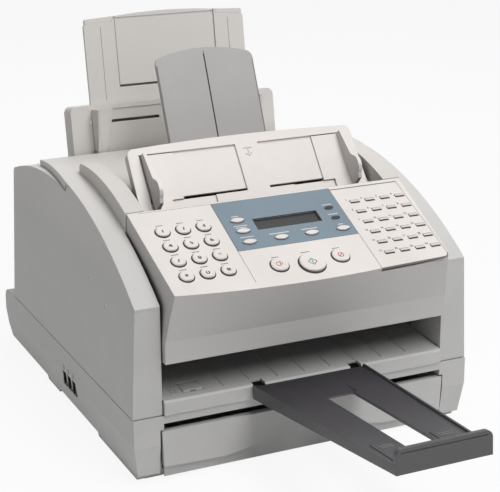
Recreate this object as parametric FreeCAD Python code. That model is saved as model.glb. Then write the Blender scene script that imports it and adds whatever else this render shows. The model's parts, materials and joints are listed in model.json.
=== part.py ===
import FreeCAD, Part
import math
import os

from FreeCAD import Placement, Rotation, Vector

# Driving dimensions in millimetres: +X to the right, +Y to the back, +Z up
WIDTH = 380.0            # body width at the seam between base and upper body
DEPTH = 397.0            # front posts to the rear of the side covers
FRONT_Y = -190.0         # front of the base
SEAM_Z = 70.0            # height of the seam between base and upper body
RAIL_TOP = 260.7         # highest point of the arched rails
RAIL_TOP_Y = 58.0        # where the rails are highest
RAIL_R = 430.0           # radius of the rails' arch
RAIL_W = 26.0            # width of a rail and of its front post
HUMP_DEPTH = 40.0        # how far the base reaches out behind the upper body
WALL = 2.5               # wall thickness of the mouldings
DRAFT = 0.046            # inward lean of the sides per millimetre of height
SEAM_GAP = 0.8           # gap along the seam
GAP = 0.4                # gap between neighbouring mouldings
SLIDE_GAP = 0.5          # gap beside a piece that slides
SHAFT_GAP = 0.05         # radial gap of a shaft in its hole

PAPER_W = 216.0          # widest sheet that the machine takes
PANEL_TILT = 24.7        # slope of the operation panel, degrees
PANEL_LENGTH = 122.7     # operation panel along its slope, at the corners
PANEL_BOW = 8.0          # how far the panel's front edge bows out in the middle
STRIP_Z = 125.7          # lower edge of the panel's front
FLOOR_Z = 86.1           # front edge of the paper exit's floor
KEY_D = 14.4             # number key diameter
KEY_PITCH = 22.0         # distance between number keys
KEY_RISE = 2.2           # how far a key stands above the panel
KEY_TRAVEL = 1.5         # how far a key can be pressed
START_D = 27.0           # start button diameter
SIDE_BUTTON_D = 18.4     # diameter of the two buttons beside it
ADF_TILT = 52.0          # slope of the document plate, degrees
ADF_LENGTH = 70.0        # document plate along its slope
ADF_W = 264.0            # document plate width
TRAY_W = 128.0           # paper tray at the exit: width at the body
TRAY_END_W = 98.0        # and at its free end
TRAY_LENGTH = 254.0      # and its length
TRAY_TILT = 4.7          # and its upward slope, degrees
REAR_TRAY_W = 256.0      # paper tray at the back: width
REAR_TRAY_TILT = 80.0    # and its slope, degrees
REAR_TRAY_H = 54.0       # and its length above the cover
REAR_TRAY_DEEP = 24.0    # and its depth
EXTENSION_W = 200.0      # sliding plate of the back tray: width
EXTENSION_H = 96.0       # and how far it stands out
SUPPORT_W = 117.0        # document support: width
SUPPORT_H = 130.0        # and its length above the cover
SUPPORT_TILT = 66.0      # and its slope, degrees
DRAWER_W = 321.0         # cassette front: width
DRAWER_TOP = 54.0        # and its upper edge
FUSER_R = 12.0           # radius of the fixing rollers
GEAR_MODULE = 1.0        # tooth size of the roller gears

# Places worked out from the sizes above
HALF = WIDTH / 2
REAR_Y = FRONT_Y + DEPTH
HUMP_Y = REAR_Y + HUMP_DEPTH
BODY_Z = SEAM_Z + SEAM_GAP
RAIL_Z0 = RAIL_TOP - RAIL_R
POST_Y = FRONT_Y + 2.5
TOP_REAR_Y = REAR_Y - 70.0
SKIN_STEP_Y = RAIL_TOP_Y - 41.0
RAIL_OUT = HALF - DRAFT * 115.0
RAIL_IN = RAIL_OUT - RAIL_W
PANEL_HALF = RAIL_IN - 1.6
PANEL_Y = FRONT_Y + 93.0


def rail_z(y, drop=0.0):
    """Height of the rails' arch above y, less a drop towards its centre."""
    return RAIL_Z0 + math.sqrt((RAIL_R - drop) ** 2 - (y - RAIL_TOP_Y) ** 2)


PANEL_Z = rail_z(PANEL_Y) + 19.1
SLOPE = math.radians(PANEL_TILT)
PANEL_FRONT_Y = PANEL_Y - PANEL_LENGTH * math.cos(SLOPE)
PANEL_FRONT_Z = PANEL_Z - PANEL_LENGTH * math.sin(SLOPE)
ADF_Y = PANEL_Y + 24.0
ADF_Z = rail_z(ADF_Y) + 3.5
PANEL_PLACE = Placement(Vector(0, PANEL_Y, PANEL_Z), Rotation(Vector(1, 0, 0), PANEL_TILT))
ADF_PLACE = Placement(Vector(0, ADF_Y, ADF_Z), Rotation(Vector(1, 0, 0), ADF_TILT))
TRAY_PLACE = Placement(Vector(0, FRONT_Y - 4.0, FLOOR_Z - 1.0), Rotation(Vector(1, 0, 0), -TRAY_TILT))
REAR_TRAY_Y = TOP_REAR_Y + 8.0
REAR_TRAY_Z = rail_z(TOP_REAR_Y) - 1.0
REAR_PLACE = Placement(Vector(0, REAR_TRAY_Y, REAR_TRAY_Z), Rotation(Vector(1, 0, 0), REAR_TRAY_TILT))
SUPPORT_Y = RAIL_TOP_Y - 42.0
SUPPORT_Z = rail_z(SUPPORT_Y)
SUPPORT_PLACE = Placement(Vector(0, SUPPORT_Y, SUPPORT_Z), Rotation(Vector(1, 0, 0), SUPPORT_TILT))


def box(x0, x1, y0, y1, z0, z1):
    """Box between two corners."""
    return Part.makeBox(x1 - x0, y1 - y0, z1 - z0, Vector(x0, y0, z0))


def spot(axis, a, u, v):
    """Point with in-plane coordinates u, v on the plane where the axis reads a."""
    return {"x": Vector(a, u, v), "y": Vector(u, a, v), "z": Vector(u, v, a)}[axis]


def wire(points, axis="z", a=0.0):
    """Closed outline: a point is joined by a line, a pair of points by an arc."""
    edges = []
    here = spot(axis, a, *points[0])
    for item in list(points[1:]) + [points[0]]:
        if isinstance(item[0], tuple):
            mid, end = spot(axis, a, *item[0]), spot(axis, a, *item[1])
            edges.append(Part.Arc(here, mid, end).toShape())
        else:
            end = spot(axis, a, *item)
            if end.distanceToPoint(here) > 1e-6:
                edges.append(Part.LineSegment(here, end).toShape())
        here = end
    return Part.Wire(edges)


def prism(points, axis, a, b):
    """Outline extruded along an axis from a to b."""
    way = {"x": Vector(b - a, 0, 0), "y": Vector(0, b - a, 0), "z": Vector(0, 0, b - a)}[axis]
    return Part.Face(wire(points, axis, a)).extrude(way)


def rounded(x0, x1, y0, y1, r):
    """Points of a rectangle with round corners, in plan."""
    k = r * (1 - math.sqrt(0.5))
    return [
        (x0 + r, y0), (x1 - r, y0), ((x1 - k, y0 + k), (x1, y0 + r)),
        (x1, y1 - r), ((x1 - k, y1 - k), (x1 - r, y1)),
        (x0 + r, y1), ((x0 + k, y1 - k), (x0, y1 - r)),
        (x0, y0 + r), ((x0 + k, y0 + k), (x0 + r, y0)),
    ]


def rod(x0, x1, y, z, r):
    """Cylinder along X."""
    return Part.makeCylinder(r, x1 - x0, Vector(x0, y, z), Vector(1, 0, 0))


def fuse(shapes):
    """One solid from several that touch or overlap."""
    first, rest = shapes[0], shapes[1:]
    return first.fuse(rest).removeSplitter() if rest else first


def cut(shape, tools):
    """Shape with every tool taken away."""
    return shape.cut(tools).removeSplitter()


def mirrored(shape):
    """The same piece for the other side."""
    return shape.mirror(Vector(0, 0, 0), Vector(1, 0, 0))


def arch(drop, x0, x1, y0, y1, low):
    """Block under the rails' arch, its top lowered by a drop."""
    mid = (y0 + y1) / 2
    top = ((mid, rail_z(mid, drop)), (y1, rail_z(y1, drop)))
    return prism([(y0, low), (y0, rail_z(y0, drop)), top, (y1, low)], "x", x0, x1)


# Base with the cassette bay

BASE_LOW = 8.0
BAY_HALF = DRAWER_W / 2 - 2.5
BAY_TOP = 62.0
LEDGE_Z = 11.0
BAY_REAR = REAR_Y - 5.0
JACK_Y = (24.0, 8.5, -7.0)
JACK_Z = 34.0
JACK_W = 11.7
JACK_H = 16.0
JACK_DEEP = 14.0
INLET_X = -HALF + 70.0
INLET_Z = 38.0
INLET_W = 27.0
INLET_H = 19.0
INLET_DEEP = 16.0
FOOT_H = 1.5
SKID_W = 34.0
FRONT_SKID_END = FRONT_Y + 129.0
REAR_FOOT_Y = REAR_Y - 147.0
REAR_FOOT_LENGTH = 50.0


def base_outline(t):
    """Side view of the base, its walls drawn in by t."""
    low = BASE_LOW if t == 0 else -1.0
    top = SEAM_Z - t
    return [
        (FRONT_Y + t, top), (FRONT_Y + t, 40.0), (FRONT_Y + 4.0 + t, low),
        (HUMP_Y - 8.0 - t, low), (HUMP_Y - t, 22.0), (HUMP_Y - t, top - 14.0),
        ((HUMP_Y - 4.1 - t, top - 4.1), (HUMP_Y - 14.0 - t, top)),
    ]


def base_width(t):
    """Front view of the base: the sides lean in towards the floor."""
    side, low = HALF - t, HALF - 6.0 - t
    top = SEAM_Z + 5.0
    return [(-low, -2.0), (low, -2.0), (side, 42.0), (side, top), (-side, top), (-side, 42.0)]


def drafted(t):
    """Base block with its walls drawn in by t."""
    block = prism(base_outline(t), "x", -HALF, HALF)
    return block.common(prism(base_width(t), "y", FRONT_Y - 5.0, HUMP_Y + 5.0))


def skids():
    """Low runners under the base, before the rubber pads."""
    x1 = HALF - 6.5
    runs = [(FRONT_Y + 9.0, FRONT_SKID_END), (REAR_FOOT_Y, REAR_FOOT_Y + REAR_FOOT_LENGTH)]
    blocks = []
    for y0, y1 in runs:
        run = [(y0 + 3.0, FOOT_H), (y1 - 6.0, FOOT_H), (y1, BASE_LOW + 2.0), (y0, BASE_LOW + 2.0)]
        blocks.append(prism(run, "x", x1 - SKID_W, x1))
    return blocks + [mirrored(b) for b in blocks]


def base_housing():
    shell = cut(drafted(0.0), [drafted(WALL)])
    bay = box(-BAY_HALF, BAY_HALF, FRONT_Y - 5.0, BAY_REAR, -5.0, BAY_TOP)
    inner = drafted(WALL / 2).common(box(-HALF, HALF, FRONT_Y, HUMP_Y, BASE_LOW, SEAM_Z))
    walls = box(-BAY_HALF - WALL, BAY_HALF + WALL, FRONT_Y + 1.0, BAY_REAR + WALL, BASE_LOW, BAY_TOP + WALL)
    shell = fuse([shell, walls.common(inner)])
    mouth_half = DRAWER_W / 2 + 1.5
    mouth = box(-mouth_half, mouth_half, FRONT_Y - 5.0, FRONT_Y + 9.0, -5.0, DRAWER_TOP + 1.5)
    shell = cut(shell, [bay, mouth])
    ledges = [box(BAY_HALF - 14.0, BAY_HALF + 0.5, FRONT_Y + 12.0, BAY_REAR + 0.5, BASE_LOW, LEDGE_Z)]
    ledges += [mirrored(ledges[0])]
    shell = fuse([shell] + ledges + skids())
    tools = []
    for y in JACK_Y:
        w, h = JACK_W / 2 + GAP, JACK_H / 2 + GAP
        tools.append(box(-HALF - 5.0, -HALF + 12.0, y - w, y + w, JACK_Z - h, JACK_Z + h))
    w, h = INLET_W / 2 + GAP, INLET_H / 2 + GAP
    tools.append(box(INLET_X - w, INLET_X + w, HUMP_Y - 12.0, HUMP_Y + 5.0, INLET_Z - h, INLET_Z + h))
    w, reach = PICKUP_HALF + 6.0, PICKUP_R + 4.0
    tools.append(box(-w, w, PICKUP_Y - reach, PICKUP_Y + reach, BAY_TOP - 1.0, SEAM_Z + 1.0))
    return cut(shell, tools)


def rubber_feet():
    x1 = HALF - 12.0
    pads = []
    front = (FRONT_Y + 14.0, FRONT_Y + 44.0)
    rear = (REAR_FOOT_Y + 8.0, REAR_FOOT_Y + REAR_FOOT_LENGTH - 10.0)
    for y0, y1 in (front, rear):
        pads.append(prism(rounded(x1 - 26.0, x1, y0, y1, 5.0), "z", 0.0, FOOT_H))
    return Part.Compound(pads + [mirrored(p) for p in pads])


def phone_jacks():
    """Three moulded line sockets on one strip, open to the left."""
    back = -HALF + 2.0 + JACK_DEEP
    sockets = []
    w, h = JACK_W / 2, JACK_H / 2
    inner = w - 1.2
    for y in JACK_Y:
        block = box(-HALF + 1.0, back, y - w, y + w, JACK_Z - h, JACK_Z + h)
        well = box(-HALF, back - 2.0, y - inner, y + inner, JACK_Z - h + 3.4, JACK_Z + h - 1.2)
        latch = box(-HALF, back - 2.0, y - 2.6, y + 2.6, JACK_Z - h + 1.2, JACK_Z)
        sockets.append(cut(block, [well, latch]))
    strip = box(back - 0.5, back + 1.6, JACK_Y[-1] - 10.0, JACK_Y[0] + 10.0, JACK_Z - 14.0, JACK_Z + 14.0)
    post = box(back, -BAY_HALF - WALL, JACK_Y[-1], JACK_Y[0], JACK_Z - 5.0, JACK_Z + 5.0)
    return fuse(sockets + [strip, post])


def inlet_outline(t):
    """Front view of the mains inlet, drawn in by t: a block with two upper corners cut off."""
    w, h, bevel = INLET_W / 2 - t, INLET_H / 2 - t, 5.0
    x, z = INLET_X, INLET_Z
    return [(x - w, z - h), (x + w, z - h), (x + w, z + h - bevel), (x + w - bevel, z + h),
            (x - w + bevel, z + h), (x - w, z + h - bevel)]


def power_inlet():
    """Mains inlet with its three blades, open to the back, on a post from the cassette bay."""
    front = HUMP_Y - 2.0 - INLET_DEEP
    shell = prism(inlet_outline(0.0), "y", front, HUMP_Y - 1.0)
    well = prism(inlet_outline(2.0), "y", front + 2.0, HUMP_Y)
    blades = []
    for dx, dz in [(-7.0, -2.0), (0.0, 2.0), (7.0, -2.0)]:
        x, z = INLET_X + dx, INLET_Z + dz
        blades.append(box(x - 1.0, x + 1.0, front + 1.0, HUMP_Y - 4.0, z - 2.2, z + 2.2))
    post = box(INLET_X - 5.0, INLET_X + 5.0, BAY_REAR + WALL, front + 1.0, INLET_Z - 5.0, INLET_Z + 5.0)
    return fuse([cut(shell, [well]), post] + blades)


# Paper cassette

CASSETTE_HALF = BAY_HALF - SLIDE_GAP - 2.0
CASSETTE_LOW = LEDGE_Z + GAP
CASSETTE_TOP = 52.0
CASSETTE_REAR = BAY_REAR - 8.0
LIFT_Y0 = FRONT_Y + 150.0
LIFT_Z = CASSETTE_LOW + WALL + 8.0


def cassette_tray():
    """Open-topped paper box with a step down the middle of its floor."""
    y0 = FRONT_Y + 8.0
    outer = box(-CASSETTE_HALF, CASSETTE_HALF, y0, CASSETTE_REAR, CASSETTE_LOW, CASSETTE_TOP)
    well = box(-CASSETTE_HALF + WALL, CASSETTE_HALF - WALL, y0 + WALL, CASSETTE_REAR - WALL,
               CASSETTE_LOW + WALL, CASSETTE_TOP + 1.0)
    tray = cut(outer, [well])
    fence_x = PAPER_W / 2 + 2.0
    fences = []
    for side in (-1, 1):
        for y in (LIFT_Y0 - 40.0, LIFT_Y0 + 60.0, LIFT_Y0 + 150.0):
            x = side * (fence_x + 1.5)
            fences.append(box(x - 1.5, x + 1.5, y, y + 30.0, CASSETTE_LOW + 1.0, CASSETTE_TOP - 4.0))
    ribs = []
    for y in (LIFT_Y0 - 2.0, LIFT_Y0 + 1.7):
        ribs.append(box(-fence_x, fence_x, y, y + 1.5, CASSETTE_LOW + 1.0, CASSETTE_LOW + WALL + 2.5))
    return fuse([tray] + fences + ribs)


def front_curve():
    """Lower edge of the cassette front, rising over the finger recess."""
    end = DRAWER_W / 2 - 1.5
    low, high = 14.0, 24.0
    flat, rise = 95.0, 34.0
    mid = (flat + rise) / 2
    half = (low + high) / 2
    bend = 0.18 * (high - low)
    lift = ((mid + 15.0, low + bend), (mid, half))
    crest = ((mid - 15.0, high - bend), (rise, high))
    fall = ((-mid + 15.0, high - bend), (-mid, half))
    floor = ((-mid - 15.0, low + bend), (-flat, low))
    return [(end, low + 2.0), (flat, low), lift, crest, (-rise, high), fall, floor, (-end, low + 2.0)]


def cassette_front():
    """Drawer front: a skin with an arched lower edge before a set-back wall."""
    top = DRAWER_W / 2
    skin = prism([(-top, DRAWER_TOP), (top, DRAWER_TOP)] + front_curve(), "y", FRONT_Y - 1.0, FRONT_Y + 2.0)
    rim = prism([(-top, DRAWER_TOP), (top, DRAWER_TOP)] + front_curve(), "y", FRONT_Y + 1.5, FRONT_Y + 6.0)
    low = 2.5
    half = DRAWER_W / 2 - 3.0
    top_z = DRAWER_TOP - 1.0
    back = prism([(-half, top_z), (half, top_z), (half - 1.0, low), (-half + 1.0, low)],
                 "y", FRONT_Y + 5.5, FRONT_Y + 8.0)
    hollow = box(-top + WALL, top - WALL, FRONT_Y + 2.0, FRONT_Y + 5.5, 28.0, DRAWER_TOP - WALL)
    return fuse([skin, cut(rim, [hollow]), back])


def lift_plate():
    """Sheet-metal plate that raises the paper, turning about two ears at its front."""
    half = PAPER_W / 2 - 1.0
    plate = box(-half, half, LIFT_Y0, CASSETTE_REAR - 12.0, LIFT_Z, LIFT_Z + 1.2)
    slots = []
    y0, y1 = LIFT_Y0 + 60.0, CASSETTE_REAR - 70.0
    for x in (-60.0, 0.0, 60.0):
        slots.append(box(x - 12.0, x + 12.0, y0, y1, LIFT_Z - 1.0, LIFT_Z + 3.0))
    lip = box(-half, half, LIFT_Y0, LIFT_Y0 + 1.2, CASSETTE_LOW + WALL + 0.3, LIFT_Z + 1.0)
    return fuse([cut(plate, slots), lip])


# Side covers, top cover and rear cover

SKIN_TOP = RAIL_TOP - 12.7
BOSS_R = 5.0
CRADLE_R = 2.6
BOSSES = [(FRONT_Y + 160.0, SEAM_Z + 100.0), (REAR_Y - 107.0, SEAM_Z + 40.0)]


def skin_outline(t):
    """Side view of a side cover, drawn in by t: front post, arch, step and rear shoulder."""
    low = BODY_Z if t == 0 else BODY_Z - 5.0
    y0, step, y1 = POST_Y + t, SKIN_STEP_Y - t, REAR_Y - t
    drop = WALL + t
    mid = (y0 + step) / 2
    arch_end = ((mid, rail_z(mid, drop)), (step, rail_z(step, drop)))
    shelf = SKIN_TOP - t
    rear = ((step + 90.0, shelf + 2.5), (y1 - 7.0, shelf - 17.0))
    corner = ((y1 - 2.2, shelf - 19.5), (y1 - 0.5, shelf - 25.0))
    return [(y0 - 0.8, low), (y0, rail_z(y0, drop)), arch_end, (step, shelf), rear, corner, (y1, low)]


def lean(x0, t):
    """Slab between the drafted side plane, drawn in by t, and a plane at x0."""
    foot = HALF - t
    top = foot - DRAFT * (RAIL_TOP - SEAM_Z)
    shape = [(-foot - DRAFT * 20.0, SEAM_Z - 20.0), (-x0, SEAM_Z - 20.0), (-x0, RAIL_TOP), (-top, RAIL_TOP)]
    return prism(shape, "y", FRONT_Y - 5.0, HUMP_Y)


def rail_edge(gap):
    """Plan of the whole top cover, grown by a gap."""
    mid_x = RAIL_OUT - DRAFT * 76.0 + gap
    end_x = mid_x - 9.8
    y1 = TOP_REAR_Y + gap
    return [(-RAIL_OUT - gap, POST_Y), (-mid_x, SKIN_STEP_Y), (-end_x, y1), (end_x, y1),
            (mid_x, SKIN_STEP_Y), (RAIL_OUT + gap, POST_Y)]


def cradle_holes():
    """Two screw holes for a handset cradle on the left side."""
    spots = [(FRONT_Y + 131.5, 178.0), (FRONT_Y + 82.6, 162.0)]
    return [rod(-HALF - 10.0, -RAIL_IN - WALL - 1.0, y, z, CRADLE_R) for y, z in spots]


def side_cover():
    """Left side: drafted wall with a return all round and a box-section front post."""
    outer = prism(skin_outline(0.0), "x", -HALF, -RAIL_IN).common(lean(RAIL_IN, 0.0))
    inner = prism(skin_outline(WALL), "x", -HALF, -RAIL_IN + 1.0).common(lean(RAIL_IN - 1.0, WALL))
    cover = cut(outer, [inner])
    post = prism(skin_outline(0.0), "x", -RAIL_IN - WALL, -RAIL_IN)
    post = post.common(box(-HALF, 0, FRONT_Y - 5.0, FRONT_Y + 60.0, 0, RAIL_TOP))
    cover = fuse([cover, post])
    clear = prism(rail_edge(GAP), "z", SKIN_TOP - 40.0, RAIL_TOP + 20.0)
    clear = clear.common(box(-HALF, 0, SKIN_STEP_Y - WALL - 0.5, HUMP_Y, 0, RAIL_TOP + 30.0))
    inside = box(-RAIL_IN - WALL - GAP, 0, FRONT_Y + 61.0, REAR_Y - WALL - 3.0, 0, RAIL_TOP + 30.0)
    bosses = []
    for y, z in BOSSES:
        wall_x = HALF - DRAFT * (z - SEAM_Z) - WALL / 2
        bosses.append(rod(-wall_x, -FRAME_HALF, y, z, BOSS_R))
    return fuse([cut(cover, [clear, inside])] + bosses)


SHOULDER_R = 280.0
SHOULDER_Y = 10.0
SHOULDER_IN = ADF_W / 2 + 5.6
SHOULDER_END = RAIL_TOP_Y - 18.0
SHOULDER_OUT = PANEL_HALF + 0.6


def shoulder_z(y):
    """Height of the raised shoulders beside the document plate."""
    top = PANEL_Z + 21.6
    return top - SHOULDER_R + math.sqrt(SHOULDER_R ** 2 - (y - SHOULDER_Y) ** 2)


def shoulder(t):
    """Left shoulder block, drawn in by t."""
    y0, y1 = PANEL_Y + GAP + 0.6 + t, SHOULDER_END - t
    mid = (y0 + y1) / 2
    low = rail_z(y0) - 12.0 - 4.0 * t
    top = ((mid, shoulder_z(mid) - t), (y1 - 4.0, shoulder_z(y1 - 4.0) - t))
    side = [(y0, low), (y0, shoulder_z(y0) - t), top, (y1, shoulder_z(y1) - 4.0 - t), (y1, low)]
    return prism(side, "x", -SHOULDER_OUT + t, -SHOULDER_IN - t)


def top_cover():
    """Arched cover: two rails reaching forward, raised shoulders, and the deck behind."""
    plan = prism(rail_edge(0.0), "z", 100.0, RAIL_TOP + 40.0)
    inner_plan = prism(rail_edge(-WALL), "z", 90.0, RAIL_TOP + 40.0)
    skin = arch(0.0, -HALF, HALF, POST_Y, TOP_REAR_Y, 100.0).common(plan)
    skin = cut(skin, [arch(WALL, -HALF, HALF, POST_Y - 5.0, TOP_REAR_Y + 5.0, 90.0)])
    skirt = arch(0.5, -HALF, HALF, SKIN_STEP_Y + 1.0, TOP_REAR_Y, 90.0).common(plan)
    skirt = cut(skirt, [inner_plan, arch(22.0, -HALF, HALF, FRONT_Y, HUMP_Y, 80.0)])
    rear = arch(0.5, -RAIL_IN, RAIL_IN, TOP_REAR_Y - WALL, TOP_REAR_Y, 100.0)
    rear = cut(rear, [arch(22.0, -HALF, HALF, FRONT_Y, HUMP_Y, 80.0)])
    flank = arch(0.5, -RAIL_IN - WALL, -RAIL_IN, FRONT_Y + 62.0, PANEL_Y + 2.0, 100.0)
    flank = cut(flank, [arch(16.0, -HALF, HALF, FRONT_Y, HUMP_Y, 80.0)])
    cover = fuse([skin, skirt, rear, flank, mirrored(flank)])
    mouth = box(-RAIL_IN, RAIL_IN, FRONT_Y - 5.0, PANEL_Y + GAP + 0.6, 80.0, RAIL_TOP + 40.0)
    blocks = [shoulder(0.0), mirrored(shoulder(0.0))]
    hollows = [shoulder(WALL), mirrored(shoulder(WALL))]
    cover = fuse([cut(cover, [mouth])] + blocks)
    half = ADF_W / 2 + GAP
    slot = box(-half, half, PANEL_Y - 5.0, ADF_Y + LUG_SET, 150.0, RAIL_TOP + 40.0)
    racks = box(-GUIDE_REACH, GUIDE_REACH, PANEL_Y, ADF_Y + RACK_SET, 150.0, RAIL_TOP + 40.0)
    return cut(cover, hollows + [slot, racks, support_slot()])


def support_slot():
    """Slot in the deck that takes the document support."""
    half = SUPPORT_W / 2 + SLIDE_GAP
    hole = box(-half, half, -60.0, 20.0, -SUPPORT_THICK - SLIDE_GAP, SLIDE_GAP)
    return hole.transformed(SUPPORT_PLACE.toMatrix())


def rear_outline(t):
    """Side view of the rear cover, drawn in by t."""
    low = BODY_Z if t == 0 else BODY_Z - 5.0
    y0, y1 = TOP_REAR_Y + 2.0 * GAP + t, REAR_Y - t
    top = SKIN_TOP - 12.0 - t
    bend = y1 - 22.0
    corner = ((y1 - 8.0, top - 7.0), (y1 - 2.0, top - 22.0))
    return [(y0, low), (y0, top), (bend, top), corner, (y1 - 1.0, low)]


def rear_cover():
    """Back wall with a rounded top, an opening for the back tray, and louvres for the fan air."""
    half = RAIL_IN
    shell = prism(rear_outline(0.0), "x", -half, half)
    shell = cut(shell, [prism(rear_outline(WALL), "x", -half + WALL, half - WALL)])
    y0 = TOP_REAR_Y - 1.0
    open_front = box(-half + WALL, half - WALL, y0, TOP_REAR_Y + 5.0, BODY_Z - 1.0, SKIN_TOP - 32.0)
    w = REAR_TRAY_W / 2 + 1.0
    tray_hole = box(-w, w, y0, REAR_TRAY_Y + REAR_TRAY_DEEP + 4.0, SKIN_TOP - 60.0, RAIL_TOP)
    louvres = [box(40.0, 120.0, REAR_Y - 20.0, REAR_Y + 5.0, z, z + 3.0) for z in range(110, 150, 8)]
    return cut(shell, [open_front, tray_hole] + louvres)


# Paper exit: floor with ribs, folding stop and the tray hooked to it

FLOOR_HALF = RAIL_IN - 1.0
FLOOR_Y0 = FRONT_Y - 2.0
FLOOR_Y1 = FRONT_Y + 84.0
RIB_PITCH = 30.0
STOP_X = -122.0
STOP_W = 21.0
STOP_Y = FRONT_Y + 28.0
STOP_LENGTH = 18.0
STOP_Z = FLOOR_Z + 0.2
STOP_PIN = 1.5
STOP_PIN_R = 1.2
HOOK_X = TRAY_W / 2 - 9.0
HOOK_W = 12.0


def floor_z(y):
    """Height of the exit floor, which rises a little towards the back."""
    return FLOOR_Z + 0.06 * (y - FLOOR_Y0)


def output_floor():
    """Ribbed floor and front lip under the paper exit."""
    y0, y1 = FLOOR_Y0, FLOOR_Y1
    z1 = floor_z(y1)
    side = [(y0, BODY_Z), (y0, FLOOR_Z - 2.0), (y0 + 2.0, FLOOR_Z), (y1, z1), (y1, z1 - WALL),
            (y0 + WALL, FLOOR_Z - WALL - 0.6), (y0 + WALL, BODY_Z)]
    floor = prism(side, "x", -FLOOR_HALF, FLOOR_HALF)
    ends = prism([(y0, BODY_Z), (y0, FLOOR_Z - 2.0), (y1, z1 - 2.0), (y1, SEAM_Z), (y0 + 8.0, SEAM_Z),
                  (y0 + 6.0, BODY_Z)], "x", 0, WALL)
    walls = [ends.translated(Vector(x, 0, 0)) for x in (-FLOOR_HALF, FLOOR_HALF - WALL)]
    ribs = []
    for i in range(-4, 5):
        x = i * RIB_PITCH
        if abs(x - STOP_X) > STOP_W:
            rib = [(y0 + 6.0, floor_z(y0 + 6.0) - 0.5), (y0 + 8.0, floor_z(y0 + 8.0) + 0.8),
                   (y1 - 8.0, floor_z(y1 - 8.0) + 0.8), (y1 - 4.0, floor_z(y1 - 4.0) - 0.5)]
            ribs.append(prism(rib, "x", x - 0.6, x + 0.6))
    w = STOP_W / 2 + SLIDE_GAP
    tip = STOP_Y - STOP_LENGTH
    rim = w + WALL
    well = box(STOP_X - rim, STOP_X + rim, tip - 3.0, STOP_Y + 5.0, FLOOR_Z - 6.0, FLOOR_Z)
    deep = box(STOP_X - w, STOP_X + w, tip - 1.0, STOP_Y + 3.0, FLOOR_Z - 4.0, FLOOR_Z + 20.0)
    hooks = []
    for side in (-1, 1):
        x = side * HOOK_X
        w2 = HOOK_W / 2 + SLIDE_GAP
        hooks.append(box(x - w2, x + w2, y0 - 1.0, y0 + 12.0, BODY_Z + 1.0, FLOOR_Z + 2.0))
    pins = rod(STOP_X - w - STOP_PIN, STOP_X + w + STOP_PIN, STOP_Y, STOP_Z, STOP_PIN_R + SHAFT_GAP)
    return cut(fuse([floor] + walls + ribs + [well]), [deep, pins] + hooks)


def stopper_tab():
    """Flap that folds up out of the floor to stop short sheets, on two stub pins."""
    w = STOP_W / 2
    z = STOP_Z - 1.4
    leaf = prism([(STOP_Y - STOP_LENGTH, z), (STOP_Y, z), ((STOP_Y + 1.4, z + 1.4), (STOP_Y, z + 2.8)),
                  (STOP_Y - STOP_LENGTH + 3.0, z + 2.8), (STOP_Y - STOP_LENGTH, z + 1.4)], "x",
                 STOP_X - w, STOP_X + w)
    notch = Part.makeCylinder(4.0, 10.0, Vector(STOP_X, STOP_Y - STOP_LENGTH - 1.5, z - 3.0))
    pins = rod(STOP_X - w - STOP_PIN, STOP_X + w + STOP_PIN, STOP_Y, STOP_Z, STOP_PIN_R)
    return fuse([cut(leaf, [notch]), pins])


def tray_half(v):
    """Half width of the exit tray at a distance from the body."""
    return TRAY_W / 2 - (TRAY_W - TRAY_END_W) / 2 * (-v / TRAY_LENGTH)


TRAY_RIM = 12.6
TRAY_END_RIM = 7.0
WINDOW = (-15.5, 15.5, -217.0, -63.0)


def delivery_tray():
    """Tapered tray with a sloping recess, a long window, side rims and an upright end lip."""
    n = -TRAY_LENGTH
    h0, h1 = tray_half(0.0), tray_half(n)
    plan = [(-h0, 0.0), (-h1, n), (h1, n), (h0, 0.0)]
    deck = prism(plan, "z", -3.0, 0.0)
    rims = []
    for side in (-1, 1):
        out0, out1 = side * h0, side * h1
        rim = [(out0, 0.0), (out1, n), (out1 - side * 2.4, n), (out0 - side * 2.4, 0.0)]
        rims.append(prism(rim, "z", -TRAY_RIM, 2.0))
    belly = prism([(1.0, -TRAY_RIM - 1.0), (n - 1.0, -TRAY_RIM - 1.0), (n - 1.0, -TRAY_END_RIM),
                   (1.0, -TRAY_RIM)], "x", -TRAY_W, TRAY_W)
    body = cut(fuse([deck] + rims), [belly])
    lip_top = 16.5
    lip = [(-h1, -TRAY_END_RIM), (h1, -TRAY_END_RIM), (h1, lip_top - 7.0), ((h1 - 2.0, lip_top - 2.0),
           (h1 - 7.0, lip_top)), (-h1 + 7.0, lip_top), ((-h1 + 2.0, lip_top - 2.0), (-h1, lip_top - 7.0))]
    end = prism(lip, "y", n, n + 5.0)
    groove = prism([(-h1 + 5.0, lip_top - 4.5), (h1 - 5.0, lip_top - 4.5), (h1 - 5.0, lip_top - 3.5),
                    (-h1 + 5.0, lip_top - 3.5)], "y", n - 1.0, n + 0.8)
    x0, x1, v0, v1 = WINDOW
    window = prism(rounded(x0, x1, v0, v1, 2.0), "z", -20.0, 20.0)
    funnel = prism([(v1 + 34.0, 0.5), (v1 - 1.0, -1.8), (v1 - 1.0, 0.5)], "x", x0 - 4.0, x1 + 4.0)
    pads = []
    for side in (-1, 1):
        inner, outer = side * (x1 + 4.0), side * (x1 + 27.0)
        pad = [(inner, n + 8.0), (outer, n + 8.0), (outer, n + 58.0), (inner, n + 58.0)]
        pads.append(prism(pad, "z", -0.5, 0.8))
    hooks = []
    for side in (-1, 1):
        x = side * HOOK_X
        arm = [(-2.0, -8.0), (9.0, -8.0), (9.0, -5.5), (2.0, -3.0), (-2.0, -1.0)]
        hooks.append(prism(arm, "x", x - HOOK_W / 2, x + HOOK_W / 2))
    tray = cut(fuse([body, end] + pads + hooks), [window, funnel, groove])
    return tray.transformed(TRAY_PLACE.toMatrix())


# Operation panel with its keys

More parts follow.
